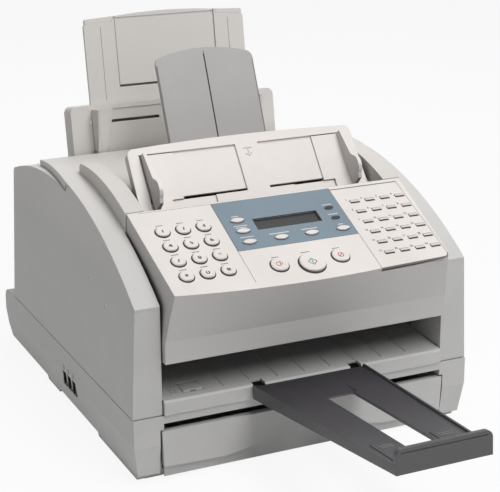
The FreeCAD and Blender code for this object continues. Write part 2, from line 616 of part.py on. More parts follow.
ONE_TOUCH_X0 = 70.0
ONE_TOUCH_X1 = PANEL_HALF - 7.0
FLAP_THICK = 3.0
OVERLAY = (-66.0, 70.0, -76.0, -2.0)
LCD = (-32.0, 40.0, -49.0, -33.0)
NUMBER_X = -130.5
NUMBER_V = -33.9
FUNCTION_ROW = -65.0
FUNCTION_KEYS = [(-48.6, -32.0), (-48.6, -48.5)] + [(x, FUNCTION_ROW) for x in (-48.6, -13.3, 21.0, 57.0)]
FUNCTION_W = 15.0
FUNCTION_D = 7.0
START_AT = (1.0, -108.0)
SIDE_AT = 34.0
SIDE_V = -103.5
STRIP_BEND = STRIP_Z + 23.8
DISH = 0.5
KEY_RIM = 2.6
KEY_BEVEL = 0.9


def panel_loft(t):
    """Panel block drawn in by t: bowed top edge, fascia leaning back to a straight bend."""
    a = SLOPE
    down = t / math.cos(a)
    xf, xr, xb = PANEL_HALF - 5.5 - t, PANEL_HALF - 0.8 - t, PANEL_HALF - t
    yf, yr, yb = PANEL_FRONT_Y + 1.1 * t, PANEL_Y - t, FRONT_Y - 6.2 + t
    zf = PANEL_FRONT_Z + (yf - PANEL_FRONT_Y) * math.tan(a) - down
    zm = zf - PANEL_BOW * math.tan(a)
    zr = PANEL_Z - t * math.tan(a) - down
    zb = STRIP_BEND - (0.0 if t == 0 else 1.0)
    top = Part.Wire([
        Part.Arc(Vector(-xf, yf, zf), Vector(0, yf - PANEL_BOW, zm), Vector(xf, yf, zf)).toShape(),
        Part.LineSegment(Vector(xf, yf, zf), Vector(xr, yr, zr)).toShape(),
        Part.LineSegment(Vector(xr, yr, zr), Vector(-xr, yr, zr)).toShape(),
        Part.LineSegment(Vector(-xr, yr, zr), Vector(-xf, yf, zf)).toShape(),
    ])
    bottom = Part.Wire([
        Part.Arc(Vector(-xb, yb, zb), Vector(0, yb - 0.3, zb), Vector(xb, yb, zb)).toShape(),
        Part.LineSegment(Vector(xb, yb, zb), Vector(xb, yr, zb)).toShape(),
        Part.LineSegment(Vector(xb, yr, zb), Vector(-xb, yr, zb)).toShape(),
        Part.LineSegment(Vector(-xb, yr, zb), Vector(-xb, yb, zb)).toShape(),
    ])
    return Part.makeLoft([top, bottom], True, True)


def on_panel(shape):
    """Shape moved from the panel's own plane to its place."""
    return shape.transformed(PANEL_PLACE.toMatrix())


def round_hole(x, v, d):
    """Hole through the panel's top plate."""
    return on_panel(Part.makeCylinder(d / 2, 30.0, Vector(x, v, -15.0)))


def number_spots():
    """Places of the twelve number keys, row by row."""
    return [(NUMBER_X + c * KEY_PITCH, NUMBER_V - r * KEY_PITCH) for r in range(4) for c in range(3)]


def lens(x, v, grow, w0, w1):
    """Oval key body: two shallow arcs."""
    a, b = FUNCTION_W / 2 + grow, FUNCTION_D / 2 + grow
    outline = [(x - a, v - 0.6), (x - a, v + 0.6), ((x, v + b), (x + a, v + 0.6)), (x + a, v - 0.6),
               ((x, v - b), (x - a, v - 0.6))]
    return prism(outline, "z", w0, w1)


def operation_panel():
    """Shell with the key field on top, the leaning fascia and the strip over the paper exit."""
    shell = cut(panel_loft(0.0), [panel_loft(WALL)])
    rear = PANEL_Y + 5.0
    low = [(PANEL_FRONT_Y - 20.0, 0.0), (FRONT_Y + 12.0, STRIP_Z), (rear, PANEL_Z - 26.0), (rear, 0.0)]
    shell = cut(shell, [prism(low, "x", -HALF, HALF)])
    y0 = FRONT_Y - 6.2
    foot = y0 + 1.3
    strip = prism([(y0, STRIP_BEND), (foot, STRIP_Z), (foot + WALL, STRIP_Z), (y0 + WALL, STRIP_BEND)],
                  "x", -PANEL_HALF, PANEL_HALF)
    ends = prism([(y0, STRIP_BEND + 2.0), (foot, STRIP_Z), (FRONT_Y + 12.0, STRIP_Z),
                  (FRONT_Y + 30.0, STRIP_BEND + 2.0)], "x", -PANEL_HALF, -PANEL_HALF + WALL)
    shell = fuse([shell, strip, ends, mirrored(ends)])
    x0, x1, n = ONE_TOUCH_X0, ONE_TOUCH_X1, -PANEL_LENGTH
    pocket_floor = on_panel(box(x0 - 3.0, x1 + 2.0, n + 3.0, -5.0, -FLAP_THICK - 5.0, -1.0))
    tools = [on_panel(box(x0 - GAP, x1 + GAP, n - 20.0, -4.4, -FLAP_THICK - 2.5, 5.0))]
    tools += [round_hole(x, v, KEY_D + 1.0) for x, v in number_spots()]
    tools += [round_hole(*START_AT, START_D + 1.0)]
    tools += [round_hole(START_AT[0] + s * SIDE_AT, SIDE_V, SIDE_BUTTON_D + 1.0) for s in (-1, 1)]
    tools += [on_panel(lens(x, v, 0.5, -15.0, 15.0)) for x, v in FUNCTION_KEYS]
    tools += [on_panel(box(LCD[0], LCD[1], LCD[2], LCD[3], -15.0, 15.0))]
    tools += [on_panel(box(OVERLAY[0], OVERLAY[1], OVERLAY[2], OVERLAY[3], -0.6, 5.0))]
    return cut(fuse([shell, pocket_floor]), tools)


def panel_overlay():
    """Printed sheet around the display, let into the panel."""
    x0, x1, v0, v1 = OVERLAY
    sheet = box(x0 + 0.2, x1 - 0.2, v0 + 0.2, v1 - 0.2, -0.6, 0.1)
    tools = [lens(x, v, 0.5, -5.0, 5.0) for x, v in FUNCTION_KEYS]
    tools += [box(LCD[0], LCD[1], LCD[2], LCD[3], -5.0, 5.0)]
    return on_panel(cut(sheet, tools))


def lcd_module():
    """Display glass under its window, in a carrier on the underside of the plate."""
    glass = box(LCD[0] + 0.3, LCD[1] - 0.3, LCD[2] + 0.3, LCD[3] - 0.3, -4.0, -1.6)
    board = box(LCD[0] - 8.0, LCD[1] + 6.0, LCD[2] - 5.0, LCD[3] + 5.0, -7.5, -WALL)
    for x, v in FUNCTION_KEYS:
        board = board.cut(lens(x, v, 2.5, -20.0, 5.0))
    return on_panel(fuse([board, glass]))


def round_key(x, v, d, rise):
    """Turned key: dished cap, bevelled edge, stem and retaining flange under the plate."""
    r = d / 2
    flange = -WALL - KEY_TRAVEL / 2
    profile = [(0.0, rise - DISH), (r - KEY_RIM, rise), (r - KEY_BEVEL, rise), (r, rise - KEY_BEVEL),
               (r, flange), (r + 1.3, flange), (r + 1.3, flange - 1.2), (0.0, flange - 1.2)]
    key = Part.Face(wire(profile, "y")).revolve(Vector(0, 0, 0), Vector(0, 0, 1), 360)
    return on_panel(key.translated(Vector(x, v, 0)))


def function_key(x, v):
    """Lens-shaped key with a crowned cap and a flange under the plate."""
    flange = -WALL - KEY_TRAVEL / 2
    stem = lens(x, v, 0.0, flange - 0.2, 1.0)
    cap = lens(x, v, -0.5, 0.9, 1.5)
    foot = lens(x, v, 1.2, flange - 1.2, flange)
    return on_panel(fuse([stem, cap, foot]))


def one_touch_panel():
    """Thin hinged flap that carries the one-touch keys."""
    x0, x1 = ONE_TOUCH_X0, ONE_TOUCH_X1
    front = -PANEL_LENGTH - 3.0
    plan = [(x0, front - 3.4), (x1 - 6.0, front - 1.0), ((x1 - 1.6, front + 1.0), (x1, front + 6.0)),
            (x1, -5.6), (x0, -5.6)]
    leaf = prism(plan, "z", -FLAP_THICK, 0.0)
    barrel = Part.makeCylinder(1.5, x1 - x0, Vector(x0, -7.2, -1.5), Vector(1, 0, 0))
    tools = [box(x - 5.6, x + 5.6, v - 2.2, v + 2.2, -1.2, 5.0) for x, v in one_touch_spots()]
    return on_panel(cut(fuse([leaf, barrel]), tools))


def one_touch_spots():
    """Places of the one-touch keys: six rows of four."""
    pitch_x = (ONE_TOUCH_X1 - ONE_TOUCH_X0 - 26.0) / 3.0
    return [(ONE_TOUCH_X0 + 19.0 + c * pitch_x, -27.0 - r * 16.25) for r in range(6) for c in range(4)]


def one_touch_keys():
    """Small bar keys, each in its own pocket of the flap."""
    bars = []
    for x, v in one_touch_spots():
        side = [(v - 1.8, -0.5), (v - 1.8, 0.9), (v + 0.8, 0.6), (v + 1.8, 0.1), (v + 1.8, -0.5)]
        bars.append(on_panel(prism(side, "x", x - 5.2, x + 5.2)))
    return Part.Compound(bars)


# Document feeder

ADF_THICK = 10.0
LUG_SET = 16.0
LUG_W = 9.0
RACK_SET = 26.0
RECESS = 2.2
RIB_X = 4.0
RIB_HALF = 13.0
PLATE_V0 = 8.0
PLATE_V1 = 61.6
GUIDE_IN = PAPER_W / 2 + 4.6
GUIDE_WALL = 4.0
GUIDE_PLATE = 31.0
GUIDE_REACH = GUIDE_IN + GUIDE_WALL + 2.0
RACK_DEPTH = 3.0
PINION_TEETH = 16
PINION_R = GEAR_MODULE * PINION_TEETH / 2
PINION_V = 30.0


def on_adf(shape):
    """Shape moved from the document plate's own plane to its place."""
    return shape.transformed(ADF_PLACE.toMatrix())


def adf_plate():
    """Crowned document plate with two recesses, guide slots and the rack housing behind."""
    w, n = ADF_W / 2, ADF_LENGTH
    plan = [(-w, -2.0), (w, -2.0), (w - 1.5, n - 9.0), ((w - 4.0, n - 3.0), (w - 9.0, n - 0.8)),
            ((0.0, n + 2.4), (-w + 9.0, n - 0.8)), ((-w + 4.0, n - 3.0), (-w + 1.5, n - 9.0))]
    plate = prism(plan, "z", -ADF_THICK, 0.0)
    i = w - WALL
    inner = [(-i, 1.0), (i, 1.0), (i - 1.5, n - 10.0), (0.0, n - 1.5), (-i + 1.5, n - 10.0)]
    plate = cut(plate, [prism(inner, "z", -ADF_THICK - 1.0, -RECESS - WALL)])
    tools = []
    for side in (-1, 1):
        edge = RIB_X + side * RIB_HALF
        far = side * GUIDE_REACH
        x0, x1 = min(edge, far), max(edge, far)
        tools.append(box(x0, x1, PLATE_V0, PLATE_V1, -RECESS, 1.0))
        foot = sorted((side * (GUIDE_IN - 22.0 - TRAVEL_IN), far))
        tools.append(box(foot[0], foot[1], -5.0, PLATE_V0 + 1.0, -RECESS, 1.0))
        tools.append(box(x0, x1, PLATE_V0, PLATE_V0 + 3.4, -20.0, 1.0))
    pin = Part.makeCylinder(3.0, 12.0, Vector(0, PINION_V, -ADF_THICK - 4.5))
    return fuse([on_adf(fuse([cut(plate, tools), pin])), adf_lug(), mirrored(adf_lug())])


def adf_lug():
    """Lug behind the document plate that stands on the deck."""
    x1 = ADF_W / 2 - 2.0
    lug = box(x1 - LUG_W, x1, ADF_Y + LUG_SET + 1.0, ADF_Y + LUG_SET + 14.0, ADF_Z - 10.0, ADF_Z + 18.0)
    return cut(lug, [arch(0.0, -HALF, HALF, FRONT_Y + 5.0, TOP_REAR_Y, 100.0)])


TRAVEL_IN = 45.0


def guide_blank():
    """Left document guide without its rack: wall with a finger bump, and a flat foot."""
    x0, x1 = -GUIDE_IN - GUIDE_WALL, -GUIDE_IN
    side = [(-3.0, -1.6), (-3.0, 6.0), (-1.0, 18.0), (4.0, 21.0), ((15.0, 27.0), (25.0, 20.0)),
            ((29.0, 16.5), (34.0, 15.0)), (PLATE_V1 - 1.0, 8.0), (PLATE_V1 - 1.0, -1.6)]
    wall = prism(side, "x", x0, x1)
    foot = box(x0, -GUIDE_IN + GUIDE_PLATE, PLATE_V0 + GAP, PLATE_V1 - 1.0, -RECESS + GAP, -0.4)
    toe = box(x0, -GUIDE_IN + 18.0, -3.0, PLATE_V0 + 1.0, -RECESS + GAP, 0.6)
    neck = box(x0 + 1.0, -GUIDE_IN + GUIDE_PLATE, PLATE_V0 + GAP, PLATE_V0 + 3.0, -ADF_THICK - 1.0, -1.0)
    return fuse([wall, foot, toe, neck])


def rack(x0, x1, pitch_v, up):
    """Straight rack along X with its pitch line at pitch_v, teeth pointing up or down the slope."""
    m = GEAR_MODULE
    pitch = math.pi * m
    s = 1.0 if up else -1.0
    z0, z1 = -ADF_THICK - 1.0 - RACK_DEPTH, -ADF_THICK - 1.0
    base = sorted((pitch_v - s * 1.25 * m, pitch_v - s * 5.0))
    bar = box(x0, x1, base[0], base[1], z0, z1)
    teeth = []
    first = math.ceil((x0 + 2.0) / pitch - 0.5)
    last = math.floor((x1 - 2.0) / pitch - 0.5)
    for i in range(first, last + 1):
        x = (i + 0.5) * pitch
        low, high = pitch_v - s * 1.3 * m, pitch_v + s * 0.9 * m
        tooth = [(x - 1.15 * m, low), (x + 1.15 * m, low), (x + 0.38 * m, high), (x - 0.38 * m, high)]
        teeth.append(prism(tooth, "z", z0, z1))
    return fuse([bar] + teeth)


def document_guide_left():
    """Left guide with its rack below the pinion."""
    low = rack(-GUIDE_IN - 2.0, PINION_R, PINION_V - PINION_R, True)
    z0, z1 = -ADF_THICK - 1.0 - RACK_DEPTH, -ADF_THICK - 1.0 + 1.0
    arm = box(-GUIDE_IN - 2.0, -GUIDE_IN + 12.0, PLATE_V0 + GAP, PINION_V - PINION_R - 2.0, z0, z1 - 1.0)
    peg = box(-GUIDE_IN - 2.0, -GUIDE_IN + 12.0, PLATE_V0 + GAP, PLATE_V0 + 3.0, z0, z1)
    return on_adf(fuse([guide_blank(), low, arm, peg]))


def document_guide_right():
    """Right guide with its rack above the pinion."""
    high = rack(-PINION_R, GUIDE_IN + 2.0, PINION_V + PINION_R, False)
    z0, z1 = -ADF_THICK - 1.0 - RACK_DEPTH, -ADF_THICK - 1.0 + 1.0
    arm = box(GUIDE_IN - 12.0, GUIDE_IN + 2.0, PLATE_V0 + GAP, PINION_V + PINION_R + 2.0, z0, z1 - 1.0)
    peg = box(GUIDE_IN - 12.0, GUIDE_IN + 2.0, PLATE_V0 + GAP, PLATE_V0 + 3.0, z0, z1)
    return on_adf(fuse([mirrored(guide_blank()), high, arm, peg]))


def gear(teeth, width, bore, phase):
    """Spur gear about Z from 0 to its width, a tooth at the phase angle in degrees."""
    m = GEAR_MODULE
    r = m * teeth / 2
    step = 2 * math.pi / teeth
    points = []
    for i in range(teeth):
        c = math.radians(phase) + i * step
        for radius, half in ((r - 1.2 * m, 0.33), (r + 0.9 * m, 0.11)):
            points.append((radius, c - half * step))
        for radius, half in ((r + 0.9 * m, 0.11), (r - 1.2 * m, 0.33)):
            points.append((radius, c + half * step))
    outline = [(q * math.cos(a), q * math.sin(a)) for q, a in points]
    return prism(outline, "z", 0.0, width).cut(Part.makeCylinder(bore, width + 2, Vector(0, 0, -1.0)))


def guide_pinion():
    """Pinion between the two racks."""
    wheel = gear(PINION_TEETH, RACK_DEPTH, 3.0 + SHAFT_GAP, 90.0)
    return on_adf(wheel.translated(Vector(0, PINION_V, -ADF_THICK - 1.0 - RACK_DEPTH)))


SUPPORT_THICK = 3.0
SUPPORT_DROP = 40.0


def document_support():
    """Crowned plate with a centre rib and edge ribs, standing in the deck's slot."""
    w, n = SUPPORT_W / 2, SUPPORT_H
    plan = [(-w, -10.0), (w, -10.0), (w, n - 14.0), ((w - 3.0, n - 8.0), (w - 8.0, n - 6.0)),
            ((0.0, n + 1.0), (-w + 8.0, n - 6.0)), ((-w + 3.0, n - 8.0), (-w, n - 14.0))]
    plate = prism(plan, "z", -SUPPORT_THICK, -0.6)
    groove = box(-0.8, 0.8, -5.0, n - 6.0, -1.4, 1.0)
    crown = ((-w / 2, n - 4.0), (-w + 8.0, n - 8.0))
    skin = prism([(-w + 1.6, -10.0), (-0.8, -10.0), (-0.8, n - 2.0), crown, (-w + 1.6, n - 15.0)],
                 "z", -1.0, 0.0)
    sheet = cut(fuse([plate, skin, mirrored(skin)]), [groove])
    return sheet.transformed(SUPPORT_PLACE.toMatrix())


# Paper tray at the back

REAR_LOW = -24.0
EXTENSION_THICK = 4.0
EXTENSION_SET = 9.0
EXTENSION_DROP = 80.0
FIN_X = 103.0
FIN_W = 3.0
REAR_SLOT_V = 34.0
REAR_TRAVEL = 45.0


def on_rear(shape):
    """Shape moved from the back tray's own plane to its place."""
    return shape.transformed(REAR_PLACE.toMatrix())


def mp_tray():
    """Open-backed tray moulding with a recessed middle, guide slots and a slot for its extension."""
    w, n = REAR_TRAY_W / 2, REAR_TRAY_H
    plan = [(-w, REAR_LOW), (w, REAR_LOW), (w, n - 8.0), ((w - 2.3, n - 2.3), (w - 8.0, n)), (-w + 8.0, n),
            ((-w + 2.3, n - 2.3), (-w, n - 8.0))]
    block = prism(plan, "z", -REAR_TRAY_DEEP, 0.0)
    i = w - WALL
    inner = [(-i, REAR_LOW - 1.0), (i, REAR_LOW - 1.0), (i, n - 9.0), (i - 6.0, n - WALL),
             (-i + 6.0, n - WALL), (-i, n - 9.0)]
    hollow = prism(inner, "z", -REAR_TRAY_DEEP - 1.0, -WALL - 1.5)
    e = EXTENSION_W / 2 + SLIDE_GAP
    f = -EXTENSION_SET
    top = box(-e, e, n - 10.0, n + 5.0, f - EXTENSION_THICK - SLIDE_GAP, f + SLIDE_GAP)
    dish = box(-78.0, 78.0, REAR_LOW - 1.0, n - 6.0, -1.0, 1.0)
    slots = []
    for side in (-1, 1):
        x0, x1 = sorted((side * (FIN_X - REAR_TRAVEL - 38.0), side * (FIN_X + 2.0)))
        slots.append(box(x0, x1, REAR_SLOT_V - 1.6, REAR_SLOT_V + 1.6, -20.0, 5.0))
    ear = box(w - 1.0, w + 12.0, REAR_TRAY_Y + 5.0, REAR_TRAY_Y + 20.0, SKIN_TOP - 12.0, SKIN_TOP - 8.0)
    return fuse([on_rear(cut(block, [hollow, top, dish] + slots)), ear, mirrored(ear)])


def mp_extension():
    """Tall sliding plate with a raised middle, a framed window and side flanges."""
    w, n = EXTENSION_W / 2, REAR_TRAY_H + EXTENSION_H
    low = REAR_LOW + 4.0
    mid = 62.0
    plan = [(-w, low), (w, low), (w, n - 8.0), ((w - 1.5, n - 5.0), (w - 5.0, n - 4.0)),
            (mid + 4.0, n - 3.0), (mid, n + 3.0), ((0.0, n + 6.0), (-mid, n + 3.0)), (-mid - 4.0, n - 3.0),
            (-w + 5.0, n - 4.0), ((-w + 1.5, n - 5.0), (-w, n - 8.0))]
    f = -EXTENSION_SET
    plate = prism(plan, "z", f - EXTENSION_THICK, f)
    frame = box(-mid, mid, REAR_TRAY_H + 20.0, n + 1.0, f - 0.8, f + 1.0)
    slot = box(-mid, mid, REAR_TRAY_H + 17.5, REAR_TRAY_H + 20.0, f - 1.6, f + 1.0)
    return on_rear(cut(plate, [frame, slot]))


def paper_guide():
    """Left paper guide of the back tray: tapered fin and a foot on the tray's face."""
    n = REAR_TRAY_H
    fin = prism([(2.0, 0.4), (2.0, 14.0), (n - 5.0, 24.0), (n - 5.0, 0.4)], "x", -FIN_X, -FIN_X + FIN_W)
    sweep = ((-FIN_X + 21.0, 24.0), (-FIN_X + 25.0, n - 5.0))
    leaf = prism([(-FIN_X, -2.0), (-FIN_X + 14.0, -2.0), sweep, (-FIN_X, n - 5.0)], "z", GAP, 1.8)
    v0, v1 = REAR_SLOT_V - 1.2, REAR_SLOT_V + 1.2
    neck = box(-FIN_X + 1.0, -FIN_X + 12.0, v0, v1, -WALL - 2.4, 1.0)
    keep = box(-FIN_X + 1.0, -FIN_X + 12.0, v0 - 3.0, v1 + 3.0, -WALL - 3.2, -WALL - 1.9)
    return fuse([fin, leaf, neck, keep])


# Chassis, print engine and electronics

FRAME_HALF = RAIL_IN - 12.0
FRAME_Y0 = PANEL_Y + 4.0
FRAME_Y1 = TOP_REAR_Y - 6.0
FRAME_LOW = SEAM_Z
FRAME_TOP = SEAM_Z + 128.0
PLATE = 2.0
SHAFT_R = 4.0
FUSER_Y = FRONT_Y + 130.0
FUSER_Z = SEAM_Z + 52.0
PRESS_Z = FUSER_Z - 2 * FUSER_R - 0.4
FUSER_TEETH = round(2 * FUSER_R / GEAR_MODULE)
EXIT_TEETH = 20
EXIT_R = 8.0
EXIT_ANGLE = math.radians(200.0)
EXIT_AWAY = GEAR_MODULE * (FUSER_TEETH + EXIT_TEETH) / 2 + 0.4
EXIT_Y = FUSER_Y + EXIT_AWAY * math.cos(EXIT_ANGLE)
EXIT_Z = FUSER_Z + EXIT_AWAY * math.sin(EXIT_ANGLE)
MOTOR_TEETH = 12
MOTOR_SHAFT_R = 1.5
MOTOR_ANGLE = math.radians(60.0)
MOTOR_AWAY = GEAR_MODULE * (FUSER_TEETH + MOTOR_TEETH) / 2 + 0.4
MOTOR_Y = FUSER_Y + MOTOR_AWAY * math.cos(MOTOR_ANGLE)
MOTOR_Z = FUSER_Z + MOTOR_AWAY * math.sin(MOTOR_ANGLE)
PICKUP_Y = FRAME_Y1 - 26.0
PICKUP_Z = SEAM_Z + 9.0
PICKUP_R = 16.0
PICKUP_HALF = 34.0
GEAR_W = 6.0
GEAR_X = FRAME_HALF + 2.0


def main_frame():
    """Folded sheet chassis: deck and two side plates with bearing holes and lightening windows."""
    y0, y1 = FRAME_Y0, FRAME_Y1
    side = [(y0, FRAME_LOW), (y0, FRAME_TOP - 40.0), (y0 + 40.0, FRAME_TOP), (y1 - 30.0, FRAME_TOP),
            (y1, FRAME_TOP - 30.0), (y1, FRAME_LOW)]
    plates = [prism(side, "x", -FRAME_HALF, -FRAME_HALF + PLATE)]
    plates.append(mirrored(plates[0]))
    deck = box(-FRAME_HALF, FRAME_HALF, y0, y1, FRAME_LOW, FRAME_LOW + PLATE)
    holes = []
    for y, z in [(FUSER_Y, FUSER_Z), (FUSER_Y, PRESS_Z), (EXIT_Y, EXIT_Z), (PICKUP_Y, PICKUP_Z)]:
        holes.append(rod(-FRAME_HALF - 5.0, FRAME_HALF + 5.0, y, z, SHAFT_R + SHAFT_GAP))
    well = box(-PICKUP_HALF - 4.0, PICKUP_HALF + 4.0, PICKUP_Y - 18.0, PICKUP_Y + 18.0, 0.0, BODY_Z + 10.0)
    opening = rounded(FUSER_Y + 50.0, PICKUP_Y - 40.0, BODY_Z + 22.0, FRAME_TOP - 16.0, 10.0)
    window = prism(opening, "x", -HALF, HALF)
    holes.append(rod(FRAME_HALF - 5.0, FRAME_HALF + 5.0, MOTOR_Y, MOTOR_Z, MOTOR_SHAFT_R + 1.0))
    return cut(fuse([deck] + plates), holes + [well, window])


def roller(y, z, r, half, reach):
    """Roller with a stepped shaft through both side plates."""
    return fuse([rod(-half, half, y, z, r), rod(-FRAME_HALF - 1.0, reach, y, z, SHAFT_R)])


def gear_on(y, z, teeth, phase):
    """Gear on the right end of a shaft, turned to X."""
    wheel = gear(teeth, GEAR_W, SHAFT_R - 0.5, phase)
    turn = Placement(Vector(GEAR_X, y, z), Rotation(Vector(1, 1, 1), 120.0))
    return wheel.transformed(turn.toMatrix())


def fuser_roller():
    shaft = roller(FUSER_Y, FUSER_Z, FUSER_R, PAPER_W / 2 + 6.0, GEAR_X + GEAR_W)
    return fuse([shaft, gear_on(FUSER_Y, FUSER_Z, FUSER_TEETH, 0.0)])


def meshed(teeth, angle):
    """Phase of a gear so that a gap faces the fuser gear's tooth line at an angle in degrees."""
    step = 360.0 / FUSER_TEETH
    driver = (angle % step) / step
    return angle + 180.0 + (360.0 / teeth) * (0.5 + driver)


def pressure_roller():
    shaft = roller(FUSER_Y, PRESS_Z, FUSER_R, PAPER_W / 2 + 6.0, GEAR_X + GEAR_W)
    return fuse([shaft, gear_on(FUSER_Y, PRESS_Z, FUSER_TEETH, meshed(FUSER_TEETH, -90.0))])


def delivery_roller():
    """Exit shaft with six narrow rubber tyres."""
    tyres = []
    for x in (-95.0, -60.0, -25.0, 25.0, 60.0, 95.0):
        tyres.append(rod(x - 6.0, x + 6.0, EXIT_Y, EXIT_Z, EXIT_R))
    shaft = rod(-FRAME_HALF - 1.0, GEAR_X + GEAR_W, EXIT_Y, EXIT_Z, SHAFT_R)
    wheel = gear_on(EXIT_Y, EXIT_Z, EXIT_TEETH, meshed(EXIT_TEETH, math.degrees(EXIT_ANGLE)))
    return fuse([shaft] + tyres + [wheel])


def pickup_roller():
    """D-shaped rubber roller on a long shaft."""
    drum = rod(-PICKUP_HALF, PICKUP_HALF, PICKUP_Y, PICKUP_Z, PICKUP_R)
    flat = box(-PICKUP_HALF - 1.0, PICKUP_HALF + 1.0, PICKUP_Y - 20.0, PICKUP_Y + 20.0,
               PICKUP_Z - PICKUP_R - 1.0, PICKUP_Z - PICKUP_R + 6.0)
    shaft = rod(-FRAME_HALF - 1.0, FRAME_HALF + 4.0, PICKUP_Y, PICKUP_Z, SHAFT_R)
    return fuse([cut(drum, [flat]), shaft])


def motor_gear():
    phase = meshed(MOTOR_TEETH, math.degrees(MOTOR_ANGLE))
    wheel = gear(MOTOR_TEETH, GEAR_W, MOTOR_SHAFT_R + SHAFT_GAP, phase)
    turn = Placement(Vector(GEAR_X, MOTOR_Y, MOTOR_Z), Rotation(Vector(1, 1, 1), 120.0))
    return wheel.transformed(turn.toMatrix())


def drive_motor():
    """Motor can on the inside of the right plate, its shaft passing out through the plate."""
    can = rod(FRAME_HALF - PLATE - 26.0, FRAME_HALF - PLATE, MOTOR_Y, MOTOR_Z, 9.0)
    boss = rod(FRAME_HALF - PLATE - 30.0, FRAME_HALF - PLATE - 26.0, MOTOR_Y, MOTOR_Z, 4.0)
    shaft = rod(FRAME_HALF - PLATE - 1.0, GEAR_X + GEAR_W, MOTOR_Y, MOTOR_Z, MOTOR_SHAFT_R)
    return fuse([can, boss, shaft])


def toner_cartridge():
    """Cartridge with its toner hopper, drum shutter and grip, between the side plates."""
    y0 = FUSER_Y + 42.0
    z0 = BODY_Z
    side = [(y0, z0 + 30.0), (y0, z0 + 62.0), ((y0 + 20.0, z0 + 84.0), (y0 + 52.0, z0 + 84.0)),
            (y0 + 96.0, z0 + 72.0), (y0 + 96.0, z0 + 56.0), (y0 + 60.0, z0 + 34.0),
            ((y0 + 40.0, z0 + 22.0), (y0 + 20.0, z0 + 26.0))]
    half = PAPER_W / 2 + 14.0
    body = prism(side, "x", -half, half)
    grip = box(-30.0, 30.0, y0 + 88.0, y0 + 104.0, z0 + 60.0, z0 + 66.0)
    foot = box(half - 10.0, half, y0 + 30.0, y0 + 60.0, FRAME_LOW + PLATE, z0 + 40.0)
    return fuse([body, grip, foot, mirrored(foot)])


def laser_unit():
    """Scanner box across the chassis with a cover lip."""
    y0, y1 = FUSER_Y + 60.0, FUSER_Y + 150.0
    z0 = FRAME_TOP - 12.0
    tray = box(-FRAME_HALF + PLATE, FRAME_HALF - PLATE, y0, y1, z0, z0 + 3.0)
    case = prism(rounded(-88.0, 88.0, y0 + 6.0, y1 - 6.0, 10.0), "z", z0 + 3.0, z0 + 24.0)
    lid = prism(rounded(-91.0, 91.0, y0 + 3.0, y1 - 3.0, 12.0), "z", z0 + 24.0, z0 + 26.0)
    return fuse([tray, case, lid])


def main_board():
    """Circuit board on the rear of the chassis with its large components."""
    y = FRAME_Y1
    low, high = BODY_Z + 12.0, BODY_Z + 92.0
    face = y + 7.4
    back = Vector(0, 1, 0)
    board = box(-120.0, 120.0, y + 6.0, y + 7.6, low, high)
    posts = []
    for x in (-112.0, 112.0):
        for z in (low + 6.0, high - 6.0):
            posts.append(Part.makeCylinder(3.0, 6.2, Vector(x, y, z), back))
    rail = box(-FRAME_HALF, FRAME_HALF, y, y + 1.0, low, high)
    chips = [box(x, x + 26.0, face, y + 11.0, low + 28.0, low + 54.0) for x in (-70.0, -20.0, 40.0)]
    cans = [Part.makeCylinder(6.0, 16.0, Vector(x, face, low + 14.0), back) for x in (-95.0, -78.0)]
    return fuse([board, rail] + posts + chips + cans)


def image_sensor():
    """Contact image sensor bar on two brackets from the chassis."""
    y, z = FRAME_Y0, FRAME_TOP - 42.0
    bar = box(-PAPER_W / 2 - 6.0, PAPER_W / 2 + 6.0, y - 36.0, y - 18.0, z - 2.0, z + 12.0)
    glass = box(-PAPER_W / 2, PAPER_W / 2, y - 33.0, y - 21.0, z + 12.0, z + 13.6)
    plate = box(-FRAME_HALF + PLATE, FRAME_HALF - PLATE, y - 38.0, y, z - 4.0, z - 2.0)
    foot = box(-FRAME_HALF, FRAME_HALF, y - 2.0, y, z - 20.0, z - 2.0)
    return fuse([bar, glass, plate, foot])


DIGITS = ["1", "2", "3", "4", "5", "6", "7", "8", "9", "star", "0", "hash"]
FUNCTION_NAMES = ["upper_left", "middle_left", "lower_left", "lower_mid", "lower_right", "far_right"]


